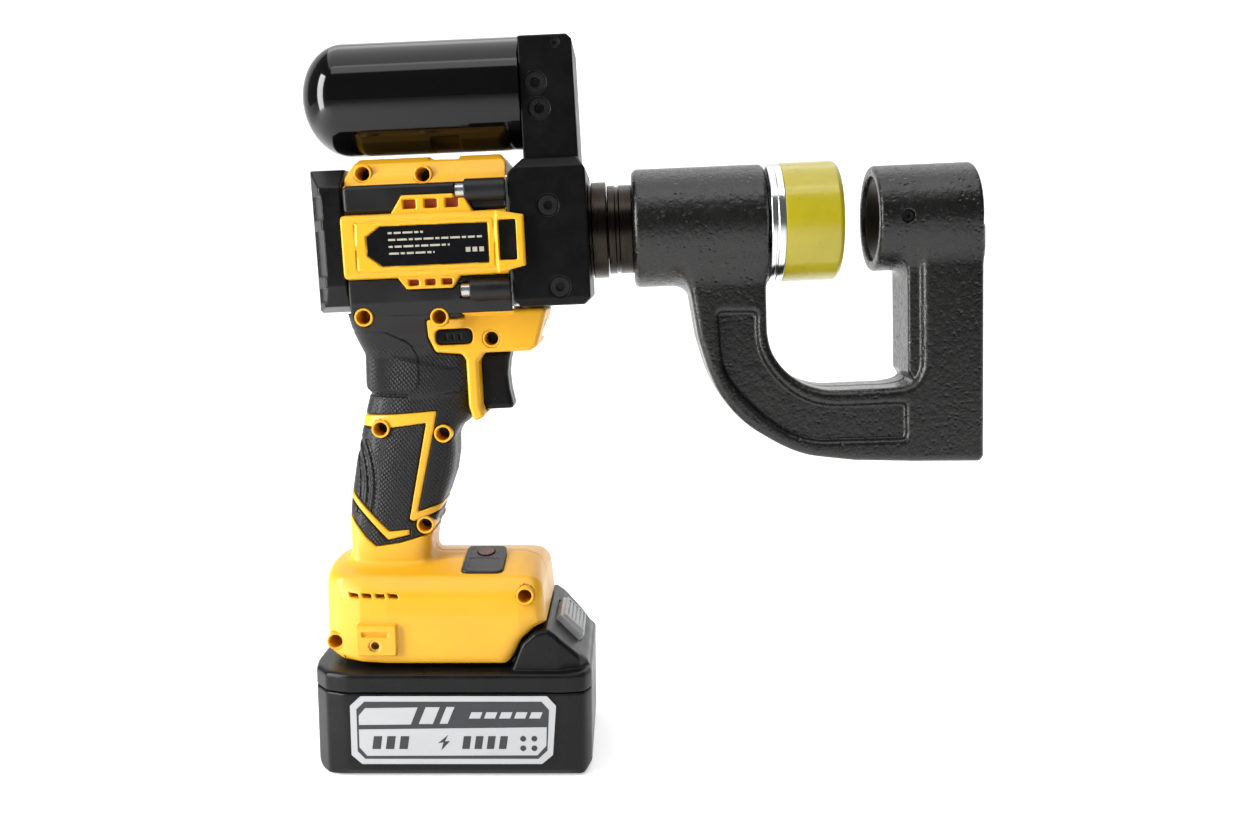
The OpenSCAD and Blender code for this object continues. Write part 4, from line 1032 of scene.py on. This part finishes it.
for word, side in (("right", -1), ("left", 1)):
    near, far = (-35, 0.5) if side < 0 else (-0.5, 35)
    housing, label = f"housing_{word}", f"battery_label_{word}"
    shell = solid(f"shell_{word}", lambda p: yellow(p, side), (-58, near, 43), (42, far, 250), SHELL_CELL)
    piece(shell, housing)
    cover = solid(f"grip_skin_{word}", lambda p: rubber(p, side), (-47, near, 88), (28, far, 240), SKIN_CELL)
    piece(cover, f"overmould_{word}")
    piece(screw_rims(f"screw_rims_{word}", side), housing)
    # Dark orange plates on the window floors: painted shade inside the vent windows.
    shade_plates = plates(f"vent_shade_plates_{word}", vent_shade_plates(), 24.5, 0.5, TOOL, side)
    piece(shade_plates, housing, finish="vent_orange")
    # A black pad in the side slot: painted shade that darkens the recess.
    slot_shade_pad = plates(f"slot_shade_pad_{word}", [rounded_box(22, 28.6, -10.5, 4.7, 0.8)], 27.9, 1.1, TOOL, side)
    piece(slot_shade_pad, housing, finish="black_plastic")
    data = plates(f"nameplate_print_{word}", nameplate_print(), 29.88, 0.06, TOOL, side)
    piece(data, f"nameplate_{word}", False, "print_pale")
    for print_name, shapes, y, depth, ink in (("label_field", [LABEL_FIELD], 37.78, 0.06, "print_dark"),
                                              ("label_light", LABEL_LIGHT, 37.82, 0.07, "label_film"),
                                              ("label_marks", label_marks(), 37.86, 0.08, "print_dark")):
        piece(plates(f"{print_name}_{word}", shapes, y, depth, LEVEL, side), label, False, ink)

SHAPES = [
    ("c_frame", c_frame, TOOL, (72, -26, -101), (214, 26, 26), 0.7),
    ("pump_block", pump_block, TOOL, (16, -30, -31), (58, 30, 77), 0.6),
    ("rear_cap", rear_cap, TOOL, (-54, -28, -30), (-38, 28, 29), 0.5),
    ("trigger", trigger, TOOL, (3, -9, -72), (23, 9, -46), 0.4),
    ("selector_button", selector, TOOL, (-8, -18, -44), (9, 18, -36), 0.3),
    ("battery_lower_case", lower_case, LEVEL, (-59, -39, -1), (59, 39, 36.5), 0.7),
    ("battery_upper_case", upper_case, LEVEL, (-59, -39, 34), (59, 39, 62), 0.7),
    ("latch_button", latch, LEVEL, (34, -15, 42), (60, 15, 66), 0.35),
    ("control_panel", panel, LEVEL, (3, -25, 79), (22, 0, 88.5), 0.3),
]
for node_name, field, matrix, low, high, cell in SHAPES:
    piece(solid(f"{node_name}_form", field, low, high, cell, matrix), node_name)

TANK_R, TANK_END = 22, -38.8        # radius, and where the dome starts
DOME = [(TANK_END - 17.5 * math.sin(a), TANK_R * math.cos(a), 0)
        for a in (math.radians(degrees) for degrees in range(84, 0, -6))]
TURNED = [
    ("reservoir", [(-56.3, 0.01, 0)] + DOME +
     [(TANK_END, TANK_R, 0), (31.8, TANK_R, 0.7), (31.8, 17.6, 0.3), (22.3, 17.6, 0.3), (22.3, 19.4, 0),
      (TANK_END, 19.4, 3), (-52, 8, 3), (-53.5, 0.01, 0)], TANK_AXIS),
    ("coupling_nipple", [(54.3, 4, 0.2), (54.3, 13.4, 0.2), (56.1, 13.4, 0.1), (56.1, 18.2, 0.3),
         (57.2, 18.2, 0.1), (57.2, 19.35, 0.5), (63.2, 19.35, 0.5), (63.2, 12, 0.1),
         (70, 12, 0.1), (70, 10.4, 0.1), (72.4, 10.4, 0.1), (72.4, 12, 0.1), (78, 12, 0.1),
         (78, 10.4, 0.1), (80.4, 10.4, 0.1), (80.4, 12, 0.1), (88, 12, 0.5), (88, 4, 0.3)],
     0),
    ("coupling_collar", [(63.6, 12.05, 0.2), (63.6, 17.85, 0.6), (66.4, 17.85, 0.2), (66.9, 17.35, 0.2),
         (67.9, 17.35, 0.2), (68.4, 17.85, 0.2), (73.4, 17.85, 0.4), (73.4, 12.05, 0.2)], 0),
    ("nose_ring", [(127.5, 12.05, 0.2), (127.5, 24.1, 0.7), (129.4, 24.1, 0.15), (129.7, 23.8, 0.15),
         (130.2, 23.8, 0.15), (130.5, 24.1, 0.15), (133.2, 24.1, 0.5), (133.2, 12.05, 0.2)], 0),
    ("stripper_sleeve", [(133.25, 12.6, 0.3), (133.25, 24, 0.4), (154.6, 24, 1.6), (156.2, 22.4, 0.8),
         (156.2, 12.6, 1.0)], 0),
    ("die_ring", [(172.2, 15, 0.3), (172.2, 16.98, 0.4), (198.5, 16.98, 0.4), (198.5, 11, 0.2),
         (177.1, 11, 0.2)], 0),
]
for node_name, profile, height in TURNED:
    finish = "die_dark" if node_name == "die_ring" else None
    piece(lathe(f"{node_name}_form", profile, height), node_name, finish=finish)


# ---------- stage, light and camera ----------

def backdrop():
    """A pale floor that sweeps up into a wall behind the object; its glow fades towards the front."""
    sweep, wall = 1.0, 1.2
    profile = [(-2.5, 0.0)] + [(wall + sweep * math.sin(a), sweep - sweep * math.cos(a))
                               for a in (math.pi / 2 * i / 24 for i in range(25))] + [(wall + sweep, 4.0)]
    bm = bmesh.new()
    rows = [[bm.verts.new((x, y, z)) for y, z in profile] for x in (-5, 5)]
    for i in range(len(profile) - 1):
        bm.faces.new((rows[0][i], rows[1][i], rows[1][i + 1], rows[0][i + 1]))
    me = bpy.data.meshes.new("floor")
    bm.to_mesh(me)
    bm.free()
    me.shade_smooth()
    ob = bpy.data.objects.new("floor", me)
    bpy.context.scene.collection.objects.link(ob)
    pale = moulded("floor_pale", (0.9, 0.9, 0.9), 0.9, 0.03, 200, 0.00001, depth=0.01, specular=0.1)
    shader = pale.node_tree.nodes["Principled BSDF"]
    shader.inputs["Emission Color"].default_value = (1, 1, 1, 1)
    tree = pale.node_tree
    place = tree.nodes.new("ShaderNodeNewGeometry")
    axes = tree.nodes.new("ShaderNodeSeparateXYZ")
    fade = tree.nodes.new("ShaderNodeMapRange")
    for name, value in (("From Min", -1.3), ("From Max", -0.4), ("To Min", 0.12), ("To Max", 0.47)):
        fade.inputs[name].default_value = value
    tree.links.new(place.outputs["Position"], axes.inputs["Vector"])
    tree.links.new(axes.outputs["Y"], fade.inputs["Value"])
    tree.links.new(fade.outputs["Result"], shader.inputs["Emission Strength"])
    me.materials.append(pale)
    return ob


backdrop()

scene = bpy.context.scene
world = bpy.data.worlds.new("studio")
world.use_nodes = True
world.node_tree.nodes["Background"].inputs["Color"].default_value = (1, 1, 1, 1)
world.node_tree.nodes["Background"].inputs["Strength"].default_value = 0.12
scene.world = world
scene.view_settings.view_transform = "Standard"


def soft_light(name, place, target, size, power, height=None):
    data = bpy.data.lights.new(name, "AREA")
    data.shape = "RECTANGLE"
    data.size = size
    data.size_y = height or size
    data.energy = power
    ob = bpy.data.objects.new(name, data)
    ob.location = place
    ob.rotation_euler = (Vector(target) - Vector(place)).to_track_quat("-Z", "Y").to_euler()
    scene.collection.objects.link(ob)
    return ob


CENTRE = (0.07, 0, 0.16)
soft_light("key", (-0.85, -0.42, 0.35), CENTRE, 0.3, 20, 1.1)
soft_light("top", (0.1, 0.25, 1.5), (0.1, 0.2, 0), 1.8, 15)
soft_light("strip", (0.1, -0.5, 1.1), CENTRE, 1.2, 3, 0.3)
soft_light("wall", (0.1, 0.3, 1.2), (0.1, 2.2, 0.8), 1.6, 12)

DOWN = 7.8                          # degrees that the camera looks down
camera_data = bpy.data.cameras.new("camera")
camera_data.sensor_width = 36
camera_data.lens = 31.58
camera = bpy.data.objects.new("camera", camera_data)
camera.location = (0.0711, -0.4568, 0.2039)
camera.rotation_euler = (math.radians(90 - DOWN), 0, 0)
scene.collection.objects.link(camera)
scene.camera = camera
